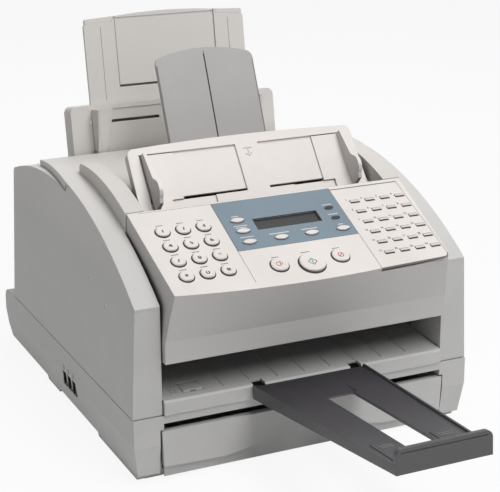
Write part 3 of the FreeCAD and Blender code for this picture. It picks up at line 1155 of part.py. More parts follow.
def build():
    """Every piece by its node name."""
    nodes = {
        "base_housing": base_housing(),
        "rubber_feet": rubber_feet(),
        "phone_jacks": phone_jacks(),
        "power_inlet": power_inlet(),
        "left_side_cover": cut(side_cover(), cradle_holes()),
        "right_side_cover": mirrored(side_cover()),
        "top_cover": top_cover(),
        "rear_cover": rear_cover(),
        "output_floor": output_floor(),
        "main_frame": main_frame(),
        "toner_cartridge": toner_cartridge(),
        "laser_unit": laser_unit(),
        "drive_motor": drive_motor(),
        "motor_gear": motor_gear(),
        "fuser_roller": fuser_roller(),
        "pressure_roller": pressure_roller(),
        "delivery_roller": delivery_roller(),
        "pickup_roller": pickup_roller(),
        "main_board": main_board(),
        "image_sensor": image_sensor(),
        "cassette_tray": cassette_tray(),
        "cassette_front": cassette_front(),
        "lift_plate": lift_plate(),
        "stopper_tab": stopper_tab(),
        "delivery_tray": delivery_tray(),
        "operation_panel": operation_panel(),
        "panel_overlay": panel_overlay(),
        "lcd_module": lcd_module(),
        "one_touch_panel": one_touch_panel(),
        "one_touch_keys": one_touch_keys(),
        "adf_plate": adf_plate(),
        "document_guide_left": document_guide_left(),
        "document_guide_right": document_guide_right(),
        "guide_pinion": guide_pinion(),
        "document_support": document_support(),
        "mp_tray": mp_tray(),
        "mp_extension": mp_extension(),
        "paper_guide_left": on_rear(paper_guide()),
        "paper_guide_right": on_rear(mirrored(paper_guide())),
        "start_button": round_key(*START_AT, START_D, KEY_RISE + 1.2),
        "copy_button": round_key(START_AT[0] - SIDE_AT, SIDE_V, SIDE_BUTTON_D, KEY_RISE),
        "stop_button": round_key(START_AT[0] + SIDE_AT, SIDE_V, SIDE_BUTTON_D, KEY_RISE),
    }
    for name, (x, v) in zip(DIGITS, number_spots()):
        nodes["key_" + name] = round_key(x, v, KEY_D, KEY_RISE)
    for name, (x, v) in zip(FUNCTION_NAMES, FUNCTION_KEYS):
        nodes["function_key_" + name] = function_key(x, v)
    return nodes


def main():
    os.makedirs("parts", exist_ok=True)
    for name, shape in build().items():
        shape.exportStep("parts/" + name + ".step")
        print(name, shape.isValid(), len(shape.Solids), round(shape.Volume))


main()
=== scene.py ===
import json
import math

import bpy
from mathutils import Matrix, Vector


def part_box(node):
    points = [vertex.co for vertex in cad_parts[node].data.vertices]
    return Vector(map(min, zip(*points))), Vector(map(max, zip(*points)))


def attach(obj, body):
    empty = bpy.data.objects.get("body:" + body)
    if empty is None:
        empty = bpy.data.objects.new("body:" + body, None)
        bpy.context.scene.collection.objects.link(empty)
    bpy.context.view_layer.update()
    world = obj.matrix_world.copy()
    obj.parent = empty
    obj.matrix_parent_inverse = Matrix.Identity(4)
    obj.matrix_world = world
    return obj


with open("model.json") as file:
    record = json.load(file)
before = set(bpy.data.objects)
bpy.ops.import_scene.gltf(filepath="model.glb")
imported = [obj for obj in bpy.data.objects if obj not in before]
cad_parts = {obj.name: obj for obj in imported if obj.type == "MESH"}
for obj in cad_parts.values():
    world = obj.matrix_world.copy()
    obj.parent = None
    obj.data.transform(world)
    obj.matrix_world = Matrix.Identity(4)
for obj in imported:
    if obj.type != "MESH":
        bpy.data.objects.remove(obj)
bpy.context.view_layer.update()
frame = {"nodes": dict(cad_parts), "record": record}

MM = 0.001

# Sloping faces of the machine, in millimetres and degrees, most of them placed by the arch of the rails
RAIL_R = 430.0
RAIL_TOP = 260.7
RAIL_MID_Y = 58.0
PANEL_Y = -97.0
PANEL_RISE = 19.1
PANEL_TILT = 24.7
FEEDER_Y = -73.0
FEEDER_RISE = 3.5
FEEDER_TILT = 52.0
TRAY_Y = -194.0
TRAY_Z = 85.1
TRAY_TILT = -4.7
SUPPORT_Y = 16.0
SUPPORT_TILT = 66.0
EXIT_Y = -192.0
EXIT_Z = 86.1
EXIT_SLOPE = 0.06
REAR_Y = 145.0
REAR_RAIL_Y = 137.0
REAR_RISE = -1.0
REAR_TILT = 80.0


def rail_z(y):
    """Height of the rails' arch."""
    return RAIL_TOP - RAIL_R + math.sqrt(RAIL_R ** 2 - (y - RAIL_MID_Y) ** 2)


def plane(y, z, tilt):
    """Matrix from a tilted plane's own x, v, w to the machine's frame."""
    return Matrix.Translation((0, y * MM, z * MM)) @ Matrix.Rotation(math.radians(tilt), 4, "X")


PANEL = plane(PANEL_Y, rail_z(PANEL_Y) + PANEL_RISE, PANEL_TILT)
FEEDER = plane(FEEDER_Y, rail_z(FEEDER_Y) + FEEDER_RISE, FEEDER_TILT)
TRAY = plane(TRAY_Y, TRAY_Z, TRAY_TILT)
SUPPORT = plane(SUPPORT_Y, rail_z(SUPPORT_Y), SUPPORT_TILT)
EXIT = plane(EXIT_Y, EXIT_Z, math.degrees(math.atan(EXIT_SLOPE)))
REAR = plane(REAR_Y, rail_z(REAR_RAIL_Y) + REAR_RISE, REAR_TILT)
LEFT = Matrix(((0, 0, -1, 0), (-1, 0, 0, 0), (0, 1, 0, 0), (0, 0, 0, 1)))
BACK = Matrix(((-1, 0, 0, 0), (0, 0, 1, 0), (0, 1, 0, 0), (0, 0, 0, 1)))

# What all surfaces share, in metres: broad tone, fine grain, painted shade in gaps and soft edges, lighter
# from a little wear and partly from a painted highlight
NOISE_SPAN = (0.3, 0.7)
BROAD = {"Scale": 14.0, "Detail": 5.0, "Roughness": 0.55}
FINE = {"Detail": 4.0, "Roughness": 0.6}
TONE_DARK = 0.95
TONE_LIGHT = 1.04
TONE_LIFT = 0.004
SPECK_TONE = 0.86
SPECK_SHARE = 0.35
SPECK_SPAN = (0.55, 0.8)
CROWN_SPAN = (0.19, 0.27)
UPRIGHT_SPAN = (0.3, 0.42)
# Painted shade in gaps and recesses: reach, span, share and tone
PAINTED_SHADE_REACH = 0.014
PAINTED_SHADE_SPAN = (0.08, 0.4)
PAINTED_SHADE_SHARE = 0.9
PAINTED_SHADE_TONE = 0.06
# Soft edges; their lighter tone is partly a little wear and partly a painted highlight
EDGE_RADIUS = 0.0007
EDGE_SPAN = (0.75, 0.99)
EDGE_WEAR_AND_HIGHLIGHT_TONE = 1.12
EDGE_WEAR_AND_HIGHLIGHT_LIFT = 0.03
POLISHED = -0.05
DULLED = 0.06
BUMP = 0.35
RAY_SAMPLES = 6
MIX_COLOURS = (6, 7)
MIX_RESULT = 2


def link(tree, a, b):
    tree.links.new(a, b)


def node(tree, kind, **values):
    made = tree.nodes.new(kind)
    for key, value in values.items():
        made.inputs[key].default_value = value
    return made


def spread(tree, source, low, high, span=NOISE_SPAN):
    """Source value mapped from a span to low..high."""
    ends = {"From Min": span[0], "From Max": span[1], "To Min": low, "To Max": high}
    made = node(tree, "ShaderNodeMapRange", **ends)
    link(tree, source, made.inputs["Value"])
    return made.outputs[0]


def blend(tree, factor, a, b):
    """Colour mixed from a to b by a factor."""
    made = tree.nodes.new("ShaderNodeMix")
    made.data_type = "RGBA"
    link(tree, factor, made.inputs[0])
    for place, value in zip(MIX_COLOURS, (a, b)):
        if isinstance(value, bpy.types.NodeSocket):
            link(tree, value, made.inputs[place])
        else:
            made.inputs[place].default_value = (*value, 1.0)
    return made.outputs[MIX_RESULT]


def toned(colour, factor, lift=0.0):
    return tuple(min(1.0, c * factor + lift) for c in colour)


def part_of(tree, vector, axis):
    """One component of a vector."""
    made = tree.nodes.new("ShaderNodeSeparateXYZ")
    link(tree, vector, made.inputs[0])
    return made.outputs[axis]


def look(name, colour, rough, grain=1400.0, depth=0.00006, edge_wear_and_highlight=0.25, metal=0.0, stretch=(1, 1, 1),
         coat=0.0, upright_tone_and_painted_light=None, crown=None):
    """Surface with fine grain, broad tone and roughness changes, painted shade in gaps, and soft edges made
    lighter by a little wear and partly by a painted highlight.

    Faces that stand upright can take another colour: painted shade on the key sides, painted light on the
    tray's sides and a grey of its own on the light shell. All that lies above the rails can have a tone of
    their own.
    """
    made = bpy.data.materials.new(name)
    made.use_nodes = True
    tree = made.node_tree
    shader = tree.nodes["Principled BSDF"]
    coords = tree.nodes.new("ShaderNodeTexCoord")
    mapping = node(tree, "ShaderNodeMapping", Scale=stretch)
    link(tree, coords.outputs["Object"], mapping.inputs["Vector"])
    fine = node(tree, "ShaderNodeTexNoise", Scale=grain, **FINE)
    broad = node(tree, "ShaderNodeTexNoise", **BROAD)
    link(tree, mapping.outputs["Vector"], fine.inputs["Vector"])
    link(tree, coords.outputs["Object"], broad.inputs["Vector"])

    ends = toned(colour, TONE_DARK), toned(colour, TONE_LIGHT, TONE_LIFT)
    tone = blend(tree, spread(tree, broad.outputs[0], 0.0, 1.0), *ends)
    specks = spread(tree, fine.outputs[0], 0.0, SPECK_SHARE, SPECK_SPAN)
    tone = blend(tree, specks, tone, toned(colour, SPECK_TONE))
    if crown:
        height = part_of(tree, coords.outputs["Object"], "Z")
        tone = blend(tree, spread(tree, height, 0.0, 1.0, CROWN_SPAN), tone, crown)
    # Upright faces blend to another colour: painted shade on the key sides, painted light on the tray's
    # sides, a grey of its own on the light shell
    if upright_tone_and_painted_light:
        rise = part_of(tree, coords.outputs["Normal"], "Z")
        tone = blend(tree, spread(tree, rise, 1.0, 0.0, UPRIGHT_SPAN), tone, upright_tone_and_painted_light)
    # Painted shade: colour darkened towards near black where other surfaces close in, in gaps and recesses
    gap = node(tree, "ShaderNodeAmbientOcclusion", Distance=PAINTED_SHADE_REACH)
    gap.samples = RAY_SAMPLES
    painted_gap_shade = spread(tree, gap.outputs["AO"], PAINTED_SHADE_SHARE, 0.0, PAINTED_SHADE_SPAN)
    tone = blend(tree, painted_gap_shade, tone, toned(colour, PAINTED_SHADE_TONE))

    bevel = node(tree, "ShaderNodeBevel", Radius=EDGE_RADIUS)
    bevel.samples = RAY_SAMPLES
    flat = tree.nodes.new("ShaderNodeNewGeometry")
    facing = tree.nodes.new("ShaderNodeVectorMath")
    facing.operation = "DOT_PRODUCT"
    link(tree, bevel.outputs[0], facing.inputs[0])
    link(tree, flat.outputs["True Normal"], facing.inputs[1])
    # Edges lighter where the bevel turns away from the face: a little wear, partly a painted highlight
    edge = spread(tree, facing.outputs["Value"], edge_wear_and_highlight, 0.0, EDGE_SPAN)
    tone = blend(tree, edge, tone, toned(colour, EDGE_WEAR_AND_HIGHLIGHT_TONE, EDGE_WEAR_AND_HIGHLIGHT_LIFT))
    link(tree, tone, shader.inputs["Base Color"])
    polish = spread(tree, broad.outputs[0], rough + POLISHED, rough + DULLED)
    link(tree, polish, shader.inputs["Roughness"])

    bump = node(tree, "ShaderNodeBump", Strength=BUMP, Distance=depth)
    link(tree, fine.outputs[0], bump.inputs["Height"])
    link(tree, bevel.outputs[0], bump.inputs["Normal"])
    link(tree, bump.outputs[0], shader.inputs["Normal"])
    shader.inputs["Metallic"].default_value = metal
    shader.inputs["Coat Weight"].default_value = coat
    return made


# Colours that several surfaces share, and the grain of the smooth ones
CREAM = (0.80, 0.755, 0.72)
WARM_GREY = (0.70, 0.675, 0.645)
KEY_GRAIN = {"grain": 2400.0, "depth": 0.00003}
PRINT_GRAIN = {"grain": 3000.0, "depth": 0.00001, "edge_wear_and_highlight": 0.0}
LINE_GRAIN = {"grain": 2000.0, "depth": 0.00002, "edge_wear_and_highlight": 0.0}
GLASS_GRAIN = {"grain": 3000.0, "depth": 0.000005}

# Materials of the CAD nodes, by slot
LOOKS = {
    "grey_shell": look("grey_shell", (0.585, 0.58, 0.572), 0.52, crown=WARM_GREY),
    "light_shell": look("light_shell", CREAM, 0.5, upright_tone_and_painted_light=(0.60, 0.59, 0.58)),
    # The key caps' upright sides get a painted shade
    "key_plastic": look("key_plastic", CREAM, 0.42, upright_tone_and_painted_light=(0.20, 0.19, 0.185), **KEY_GRAIN),
    "key_grey": look("key_grey", (0.68, 0.64, 0.61), 0.45, upright_tone_and_painted_light=(0.16, 0.15, 0.145), **KEY_GRAIN),
    "overlay": look("overlay", (0.185, 0.25, 0.30), 0.45, grain=3000.0, depth=0.00002, edge_wear_and_highlight=0.1),
    "display": look("display", (0.012, 0.014, 0.013), 0.4, edge_wear_and_highlight=0.05, **GLASS_GRAIN),
    "support_grey": look("support_grey", (0.42, 0.408, 0.405), 0.48),
    # The tray's upright sides get a painted light, lighter than its top
    "tray_dark": look("tray_dark", (0.05, 0.047, 0.052), 0.38, grain=1600.0, depth=0.00005, edge_wear_and_highlight=0.2,
                      upright_tone_and_painted_light=(0.10, 0.096, 0.10)),
    "rubber": look("rubber", (0.025, 0.025, 0.025), 0.8, grain=900.0, depth=0.0001, edge_wear_and_highlight=0.05),
    "socket_black": look("socket_black", (0.016, 0.016, 0.018), 0.45, grain=1600.0, depth=0.00004, edge_wear_and_highlight=0.1),
    "sheet_steel": look("sheet_steel", (0.48, 0.48, 0.49), 0.38, grain=260.0, depth=0.00002, edge_wear_and_highlight=0.3,
                        metal=1.0, stretch=(0.1, 3.0, 3.0)),
    "roller_coat": look("roller_coat", (0.06, 0.055, 0.055), 0.5, grain=1200.0, depth=0.00004, edge_wear_and_highlight=0.05),
    "gear_plastic": look("gear_plastic", (0.70, 0.68, 0.62), 0.4, grain=2000.0, depth=0.00003),
    "board": look("board", (0.02, 0.11, 0.045), 0.35, grain=500.0, depth=0.00004, edge_wear_and_highlight=0.1, coat=0.3),
}

# Materials of the pieces that the scene adds
INKS = {
    "ink": look("ink", (0.10, 0.095, 0.095), 0.6, **PRINT_GRAIN),
    "pale_ink": look("pale_ink", (0.72, 0.74, 0.74), 0.6, **PRINT_GRAIN),
    "red_ink": look("red_ink", (0.52, 0.07, 0.045), 0.6, **PRINT_GRAIN),
    "green_ink": look("green_ink", (0.05, 0.26, 0.13), 0.6, **PRINT_GRAIN),
    "lamp": look("lamp", (0.008, 0.008, 0.009), 0.5, edge_wear_and_highlight=0.0, **GLASS_GRAIN),
    "seam": look("seam", (0.22, 0.21, 0.20), 0.7, **LINE_GRAIN),
    "relief": look("relief", (0.50, 0.485, 0.465), 0.55, grain=1800.0, depth=0.00003, edge_wear_and_highlight=0.1),
    "contact": look("contact", (0.75, 0.52, 0.20), 0.3, grain=900.0, depth=0.00001, edge_wear_and_highlight=0.2, metal=1.0),
    "plug": look("plug", (0.78, 0.76, 0.74), 0.5),
    "shell": look("shell", WARM_GREY, 0.52),
    # Painted shade: for the gaps around keys, the shadows under the one-touch keys and the back tray's slot
    "painted_shade_strip": look("painted_shade_strip", (0.05, 0.047, 0.045), 0.7, **LINE_GRAIN),
    "screw": look("screw", (0.42, 0.42, 0.43), 0.35, grain=700.0, depth=0.00002, edge_wear_and_highlight=0.3, metal=1.0),
    "cells": look("cells", (0.017, 0.020, 0.018), 0.4, edge_wear_and_highlight=0.0, **GLASS_GRAIN),
}

for entry in frame["record"]["subparts"]:
    mesh = frame["nodes"][entry["node"]].data
    mesh.materials.clear()
    mesh.materials.append(LOOKS[entry["material_slot"]])

BOLD = 0.03


def add(name, mesh, body, ink):
    piece = bpy.data.objects.new(name, mesh)
    bpy.context.scene.collection.objects.link(piece)
    mesh.materials.clear()
    mesh.materials.append(INKS[ink])
    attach(piece, body)
    return piece


def prisms(name, outlines, levels, place, body, ink):
    """Flat outlines in a plane, in millimetres, raised from the first to the second level."""
    verts, faces = [], []
    for points in outlines:
        n, k = len(points), len(verts)
        for w in levels:
            verts += [place @ Vector((x * MM, v * MM, w * MM)) for x, v in points]
        faces.append([k + i for i in reversed(range(n))])
        faces.append([k + n + i for i in range(n)])
        faces += [[k + i, k + (i + 1) % n, k + n + (i + 1) % n, k + n + i] for i in range(n)]
    mesh = bpy.data.meshes.new(name)
    mesh.from_pydata(verts, [], faces)
    return add(name, mesh, body, ink)


def bar(x, v, length, width):
    return [(x - length / 2, v - width / 2), (x + length / 2, v - width / 2),
            (x + length / 2, v + width / 2), (x - length / 2, v + width / 2)]


def oval(x, v, a, b, steps=32):
    turns = [2 * math.pi * i / steps for i in range(steps)]
    return [(x + a * math.cos(t), v + b * math.sin(t)) for t in turns]


def strokes(points, width, closed=True):
    """Thin bars along the sides of an outline."""
    ends = list(zip(points, points[1:] + points[:1])) if closed else list(zip(points, points[1:]))
    made = []
    for (x0, v0), (x1, v1) in ends:
        length = math.hypot(x1 - x0, v1 - v0)
        nx, nv = -(v1 - v0) / length * width / 2, (x1 - x0) / length * width / 2
        made.append([(x0 - nx, v0 - nv), (x1 - nx, v1 - nv), (x1 + nx, v1 + nv), (x0 + nx, v0 + nv)])
    return made


def moved(points, x, v):
    return [(x + dx, v + dv) for dx, dv in points]


def words(name, marks, size, levels, place, body, ink):
    """Numbers or signs, each (text, x, v), as raised print in one piece."""
    low, high = levels
    mid = (low + high) / 2
    verts, faces = [], []
    for text, x, v in marks:
        curve = bpy.data.curves.new(name + "_curve", "FONT")
        curve.body = text
        curve.size = size
        curve.offset = size * BOLD
        curve.align_x = "CENTER"
        curve.align_y = "CENTER"
        curve.extrude = (high - low) / 2
        holder = bpy.data.objects.new(name + "_curve", curve)
        bpy.context.scene.collection.objects.link(holder)
        bpy.context.view_layer.update()
        shape = bpy.data.meshes.new_from_object(holder.evaluated_get(bpy.context.evaluated_depsgraph_get()))
        k = len(verts)
        spots = [Vector((p.co.x + x, p.co.y + v, p.co.z + mid)) for p in shape.vertices]
        verts += [place @ (spot * MM) for spot in spots]
        faces += [[k + i for i in f.vertices] for f in shape.polygons]
        bpy.data.objects.remove(holder)
        bpy.data.curves.remove(curve)
        bpy.data.meshes.remove(shape)
    mesh = bpy.data.meshes.new(name)
    mesh.from_pydata(verts, [], faces)
    return add(name, mesh, body, ink)


# Levels over a face, in millimetres: flat print, and lines for seams and gaps
PRINT = (-0.2, 0.06)
LINE = (-0.2, 0.05)
BOTH_SIDES = (-1, 1)

# Number keys: a figure on each cap and three short label bars above it
KEYS = ["1", "2", "3", "4", "5", "6", "7", "8", "9", "star", "0", "hash"]
SIGNS = {"star": "*", "hash": "#"}
KEY_COLUMNS = 3
KEY_ROWS = 4
KEY_PITCH = 22.0
KEY_X = -130.5
KEY_V = -33.9
FIGURE_SIZE = 8.2
FIGURE_LEVELS = (1.5, 1.95)
STAR_DROP = -1.2
LABEL_RISE = 10.2
LABEL_STEP = 2.6
LABEL_BAR = (2.2, 0.9)
spots = [(KEY_X + c * KEY_PITCH, KEY_V - r * KEY_PITCH) for r in range(KEY_ROWS) for c in range(KEY_COLUMNS)]
for key, (x, v) in zip(KEYS, spots):
    mark = (SIGNS.get(key, key), x, v + (STAR_DROP if key == "star" else 0.0))
    words("figure_" + key, [mark], FIGURE_SIZE, FIGURE_LEVELS, PANEL, "key_" + key, "ink")
labels = [bar(x + i * LABEL_STEP, v + LABEL_RISE, *LABEL_BAR) for x, v in spots for i in (-1, 0, 1)]
prisms("key_labels", labels, PRINT, PANEL, "panel", "ink")

# Painted shade: dark rings where the gaps around the number keys and the large buttons lie
START_X, START_V = 1.0, -108.0
COPY_X, COPY_V = -33.0, -103.5
STOP_X, STOP_V = 35.0, -103.5
KEY_GAP_R = 8.0
BUTTON_GAP_R = 10.0
START_GAP_R = 14.35
START_GAP_STEPS = 40
GAP_WIDTH = 0.6
START_GAP_WIDTH = 0.7
round_gaps = [oval(x, v, KEY_GAP_R, KEY_GAP_R) for x, v in spots]
round_gaps += [oval(x, v, BUTTON_GAP_R, BUTTON_GAP_R) for x, v in ((COPY_X, COPY_V), (STOP_X, STOP_V))]
gap_shade_rings = [side for gap in round_gaps for side in strokes(gap, GAP_WIDTH)]
gap_shade_rings += strokes(oval(START_X, START_V, START_GAP_R, START_GAP_R, START_GAP_STEPS), START_GAP_WIDTH)
prisms("key_gap_shade", gap_shade_rings, LINE, PANEL, "panel", "painted_shade_strip")

# Large buttons: a plain sign on each cap and a label bar above it
START_LEVELS = (2.4, 3.15)
BUTTON_LEVELS = (1.3, 2.0)
DIAMOND_A, DIAMOND_B = 4.8, 4.6
DIAMOND_LINE = 0.9
START_STEM = 5.0
SHEET = bar(-1.0, 0.5, 4.2, 4.6)
SHEET_BEHIND = [(0.8, 3.3), (3.0, 3.3), (3.0, -0.7)]
SHEET_LINE = 0.7
STOP_R = 3.0
STOP_CORNERS = 8
STOP_SLASH = 1.6
STOP_LINE = 0.8
SIDE_HINT_V = -91.6
SIDE_HINT = (8.0, 0.8)
START_HINT_V = -90.8
START_HINT = (10.0, 0.8)
diamond = moved([(0.0, DIAMOND_B), (DIAMOND_A, 0.0), (0.0, -DIAMOND_B), (-DIAMOND_A, 0.0)], START_X, START_V)
start = strokes(diamond, DIAMOND_LINE) + [bar(START_X, START_V, DIAMOND_LINE, START_STEM)]
prisms("start_sign", start, START_LEVELS, PANEL, "start_button", "green_ink")
pages = strokes(moved(SHEET, COPY_X, COPY_V), SHEET_LINE)
pages += strokes(moved(SHEET_BEHIND, COPY_X, COPY_V), SHEET_LINE, False)
prisms("copy_sign", pages, BUTTON_LEVELS, PANEL, "copy_button", "red_ink")
slash = moved([(-STOP_SLASH, -STOP_SLASH), (STOP_SLASH, STOP_SLASH)], STOP_X, STOP_V)
stop = strokes(oval(STOP_X, STOP_V, STOP_R, STOP_R, STOP_CORNERS), STOP_LINE)
stop += strokes(slash, STOP_LINE, False)
prisms("stop_sign", stop, BUTTON_LEVELS, PANEL, "stop_button", "red_ink")
hints = [bar(x, SIDE_HINT_V, *SIDE_HINT) for x in (COPY_X, STOP_X)]
hints.append(bar(START_X, START_HINT_V, *START_HINT))
prisms("button_labels", hints, PRINT, PANEL, "panel", "ink")

# Sheet around the display: label bars by the function keys, each a place and a length
SHEET_LEVELS = (-0.2, 0.16)
LEFT_X = -48.6
LEFT_LABELS = ((-25.6, 8.0), (-40.2, 15.0), (-43.0, 12.0), (-57.4, 15.0))
LOWER_V = -58.2
LOWER_LABELS = ((-13.3, 22.0), (21.0, 18.0), (57.0, 6.0))
RIGHT_X = 56.0
RIGHT_LABELS = ((-26.6, 11.0), (-41.8, 11.0))
SIDE_WIDTH = 1.1
LOWER_WIDTH = 1.2
lines = [bar(LEFT_X, v, length, SIDE_WIDTH) for v, length in LEFT_LABELS]
lines += [bar(x, LOWER_V, length, LOWER_WIDTH) for x, length in LOWER_LABELS]
lines += [bar(RIGHT_X, v, length, SIDE_WIDTH) for v, length in RIGHT_LABELS]
prisms("sheet_labels", lines, SHEET_LEVELS, PANEL, "panel", "pale_ink")

# Lamps, and the display's character cells and edge
LAMP_SPOTS = ((56.0, -32.0), (56.4, -48.0))
LAMP_A, LAMP_B = 5.0, 2.4
LAMP_LEVELS = (-0.4, 0.9)
CELL_COUNT = 17
CELL_X = -25.5
CELL_PITCH = 3.6
CELL_ROWS = (-38.2, -44.2)
CELL = (2.9, 4.6)
CELL_LEVELS = (-1.9, -1.55)
WINDOW = bar(4.0, -41.0, 72.0, 16.0)
WINDOW_LINE = 0.9
WINDOW_LEVELS = (-0.3, 0.2)
lamps = [oval(x, v, LAMP_A, LAMP_B) for x, v in LAMP_SPOTS]
prisms("lamps", lamps, LAMP_LEVELS, PANEL, "panel", "lamp")
cells = [bar(CELL_X + CELL_PITCH * i, v, *CELL) for i in range(CELL_COUNT) for v in CELL_ROWS]
prisms("display_cells", cells, CELL_LEVELS, PANEL, "panel", "cells")
prisms("display_edge", strokes(WINDOW, WINDOW_LINE), WINDOW_LEVELS, PANEL, "panel", "lamp")

# Seams beside and above the number keys
SEAMS = [bar(-66.2, -62.0, 0.5, 119.0), bar(-106.0, -2.2, 78.0, 0.4)]
prisms("panel_seams", SEAMS, LINE, PANEL, "panel", "seam")

# One-touch keys: a painted shadow line below each and a small number above it
FLAP_LEFT = 70.0
FLAP_MARGINS = 26.0
TOUCH_COLUMNS = 4
TOUCH_ROWS = 6
TOUCH_PITCH = 16.25
TOUCH_NUMBER = (80.6, -23.6)
TOUCH_NUMBER_SIZE = 3.6
TOUCH_SHADOW = (89.0, -29.5)
TOUCH_SHADOW_BAR = (11.0, 1.3)
step = (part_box("one_touch_panel")[1].x / MM - FLAP_LEFT - FLAP_MARGINS) / (TOUCH_COLUMNS - 1)
grid = [(r, c) for r in range(TOUCH_ROWS) for c in range(TOUCH_COLUMNS)]
touch_shadows = [bar(TOUCH_SHADOW[0] + c * step, TOUCH_SHADOW[1] - r * TOUCH_PITCH, *TOUCH_SHADOW_BAR) for r, c in grid]
prisms("one_touch_shadows", touch_shadows, LINE, PANEL, "one_touch_flap", "painted_shade_strip")
touch = [(str(TOUCH_COLUMNS * r + c + 1), TOUCH_NUMBER[0] + c * step, TOUCH_NUMBER[1] - r * TOUCH_PITCH)
         for r, c in grid]
words("one_touch_numbers", touch, TOUCH_NUMBER_SIZE, LINE, PANEL, "one_touch_flap", "ink")

# Document plate: moulded arrow under a bar
FEED_X = 4.0
FEED_BAR = bar(FEED_X, 56.0, 10.0, 0.8)
FEED_STEM = bar(FEED_X, 52.0, 0.8, 6.0)
FEED_HEAD_V = 50.0
FEED_HEAD = 3.5
FEED_LINE = 0.8
FEED_LEVELS = (-0.2, 0.25)
head = moved([(-FEED_HEAD, 0.0), (0.0, -FEED_HEAD), (FEED_HEAD, 0.0)], FEED_X, FEED_HEAD_V)
arrow = [FEED_BAR, FEED_STEM] + strokes(head, FEED_LINE, False)
prisms("feed_mark", arrow, FEED_LEVELS, FEEDER, "base", "relief")

# Exit floor: moulded mark by the stopper
STOP_MARK_X = -142.0
STOP_MARK_SHEET = bar(STOP_MARK_X, 17.0, 5.0, 7.0)
STOP_MARK_BAR = bar(STOP_MARK_X, 25.0, 8.0, 0.7)
STOP_MARK_LINE = 0.7
STOP_MARK_LEVELS = (-0.2, 0.3)
sheet = strokes(STOP_MARK_SHEET, STOP_MARK_LINE) + [STOP_MARK_BAR]
prisms("stop_mark", sheet, STOP_MARK_LEVELS, EXIT, "base", "relief")

# Delivery tray: moulded bars near its end
TRAY_MARK_X = 31.0
TRAY_MARK_ROWS = (-205.0, -209.0, -240.0)
TRAY_MARK = (14.0, 1.4)
TRAY_MARK_LEVELS = (0.6, 1.1)
pads = [bar(s * TRAY_MARK_X, v, *TRAY_MARK) for s in BOTH_SIDES for v in TRAY_MARK_ROWS]
prisms("tray_marks", pads, TRAY_MARK_LEVELS, TRAY, "delivery_tray", "seam")

# Document support: lines along both edges and the parting line in the middle
SUPPORT_EDGE_X = 57.7
SUPPORT_EDGE_V = 50.0
SUPPORT_EDGE = (1.4, 128.0)
SUPPORT_EDGE_LEVELS = (-0.7, -0.3)
SUPPORT_PARTING = bar(0.0, 56.0, 1.5, 134.0)
SUPPORT_PARTING_LEVELS = (-1.5, -0.25)
sides = [bar(s * SUPPORT_EDGE_X, SUPPORT_EDGE_V, *SUPPORT_EDGE) for s in BOTH_SIDES]
prisms("support_edges", sides, SUPPORT_EDGE_LEVELS, SUPPORT, "document_support", "seam")
prisms("support_line", [SUPPORT_PARTING], SUPPORT_PARTING_LEVELS, SUPPORT, "document_support", "lamp")

# Back tray's plate: corners level with its middle, moulded lines and the slot's shade, painted as a dark
# strip
PLATE_TOP = 150.0
PLATE_FACE = -9.0
CORNER = [(66.2, -2.9), (95.0, -3.9), (98.4, -4.8), (98.8, -0.5), (97.0, 1.2), (62.4, 3.0)]
CORNER_DEPTH = 4.0
INNER_LINE_X = 62.2
INNER_LINE_V = 112.0
INNER_LINE = (0.7, 82.0)
OUTER_LINE_X = 80.0
OUTER_LINE_V = 100.0
OUTER_LINE = (0.5, 84.0)
SLOT_SHADE = bar(0.0, 72.7, 123.0, 2.2)
SLOT_SHADE_LEVELS = (PLATE_FACE - 1.55, PLATE_FACE - 0.5)
plate_print = (PLATE_FACE + PRINT[0], PLATE_FACE + PRINT[1])
corners = [[(s * x, PLATE_TOP + rise) for x, rise in CORNER][::s] for s in (1, -1)]
prisms("plate_corners", corners, (PLATE_FACE - CORNER_DEPTH, PLATE_FACE), REAR, "mp_extension", "shell")
lines = [bar(s * INNER_LINE_X, INNER_LINE_V, *INNER_LINE) for s in BOTH_SIDES]
lines += [bar(s * OUTER_LINE_X, OUTER_LINE_V, *OUTER_LINE) for s in BOTH_SIDES]
prisms("plate_lines", lines, plate_print, REAR, "mp_extension", "seam")
prisms("plate_slot_shade", [SLOT_SHADE], SLOT_SHADE_LEVELS, REAR, "mp_extension", "painted_shade_strip")

# Left side: a mark over each line socket, and its contacts
SOCKETS_Y = (24.0, 8.5, -7.0)
SOCKET_SIGN_Z = 46.5
SOCKET_SIGN = (4.0, 3.2)
SOCKET_SIGN_LINE = 0.6
SOCKET_BAR_Z = 49.8
SOCKET_BAR = (5.0, 0.8)
SOCKET_SIGN_LEVELS = (189.7, 190.25)
PIN_Z = 39.6
PIN = (0.45, 1.2)
PINS_Y = (-1.9, -0.65, 0.65, 1.9)
PIN_LEVELS = (175.5, 184.0)
for i, y in enumerate(SOCKETS_Y, 1):
    sign = strokes(bar(-y, SOCKET_SIGN_Z, *SOCKET_SIGN), SOCKET_SIGN_LINE)
    sign.append(bar(-y, SOCKET_BAR_Z, *SOCKET_BAR))
    prisms("socket_mark_%d" % i, sign, SOCKET_SIGN_LEVELS, LEFT, "base", "relief")
    pins = [bar(-y + dy, PIN_Z, *PIN) for dy in PINS_Y]
    prisms("socket_pins_%d" % i, pins, PIN_LEVELS, LEFT, "base", "contact")

# Left side: two plugs where a handset cradle would be fixed, each with its y, z and distance from the middle
PLUGS = {"upper": (-58.5, 178.0, 184.7), "lower": (-107.4, 162.0, 185.5)}
PLUG_R = 2.4
PLUG_DEPTH = 1.5
ROUND_STEPS = 24
for name, (y, z, x) in PLUGS.items():
    plug = oval(-y, z, PLUG_R, PLUG_R, ROUND_STEPS)
    prisms("cradle_plug_" + name, [plug], (x - PLUG_DEPTH, x), LEFT, "base", "plug")

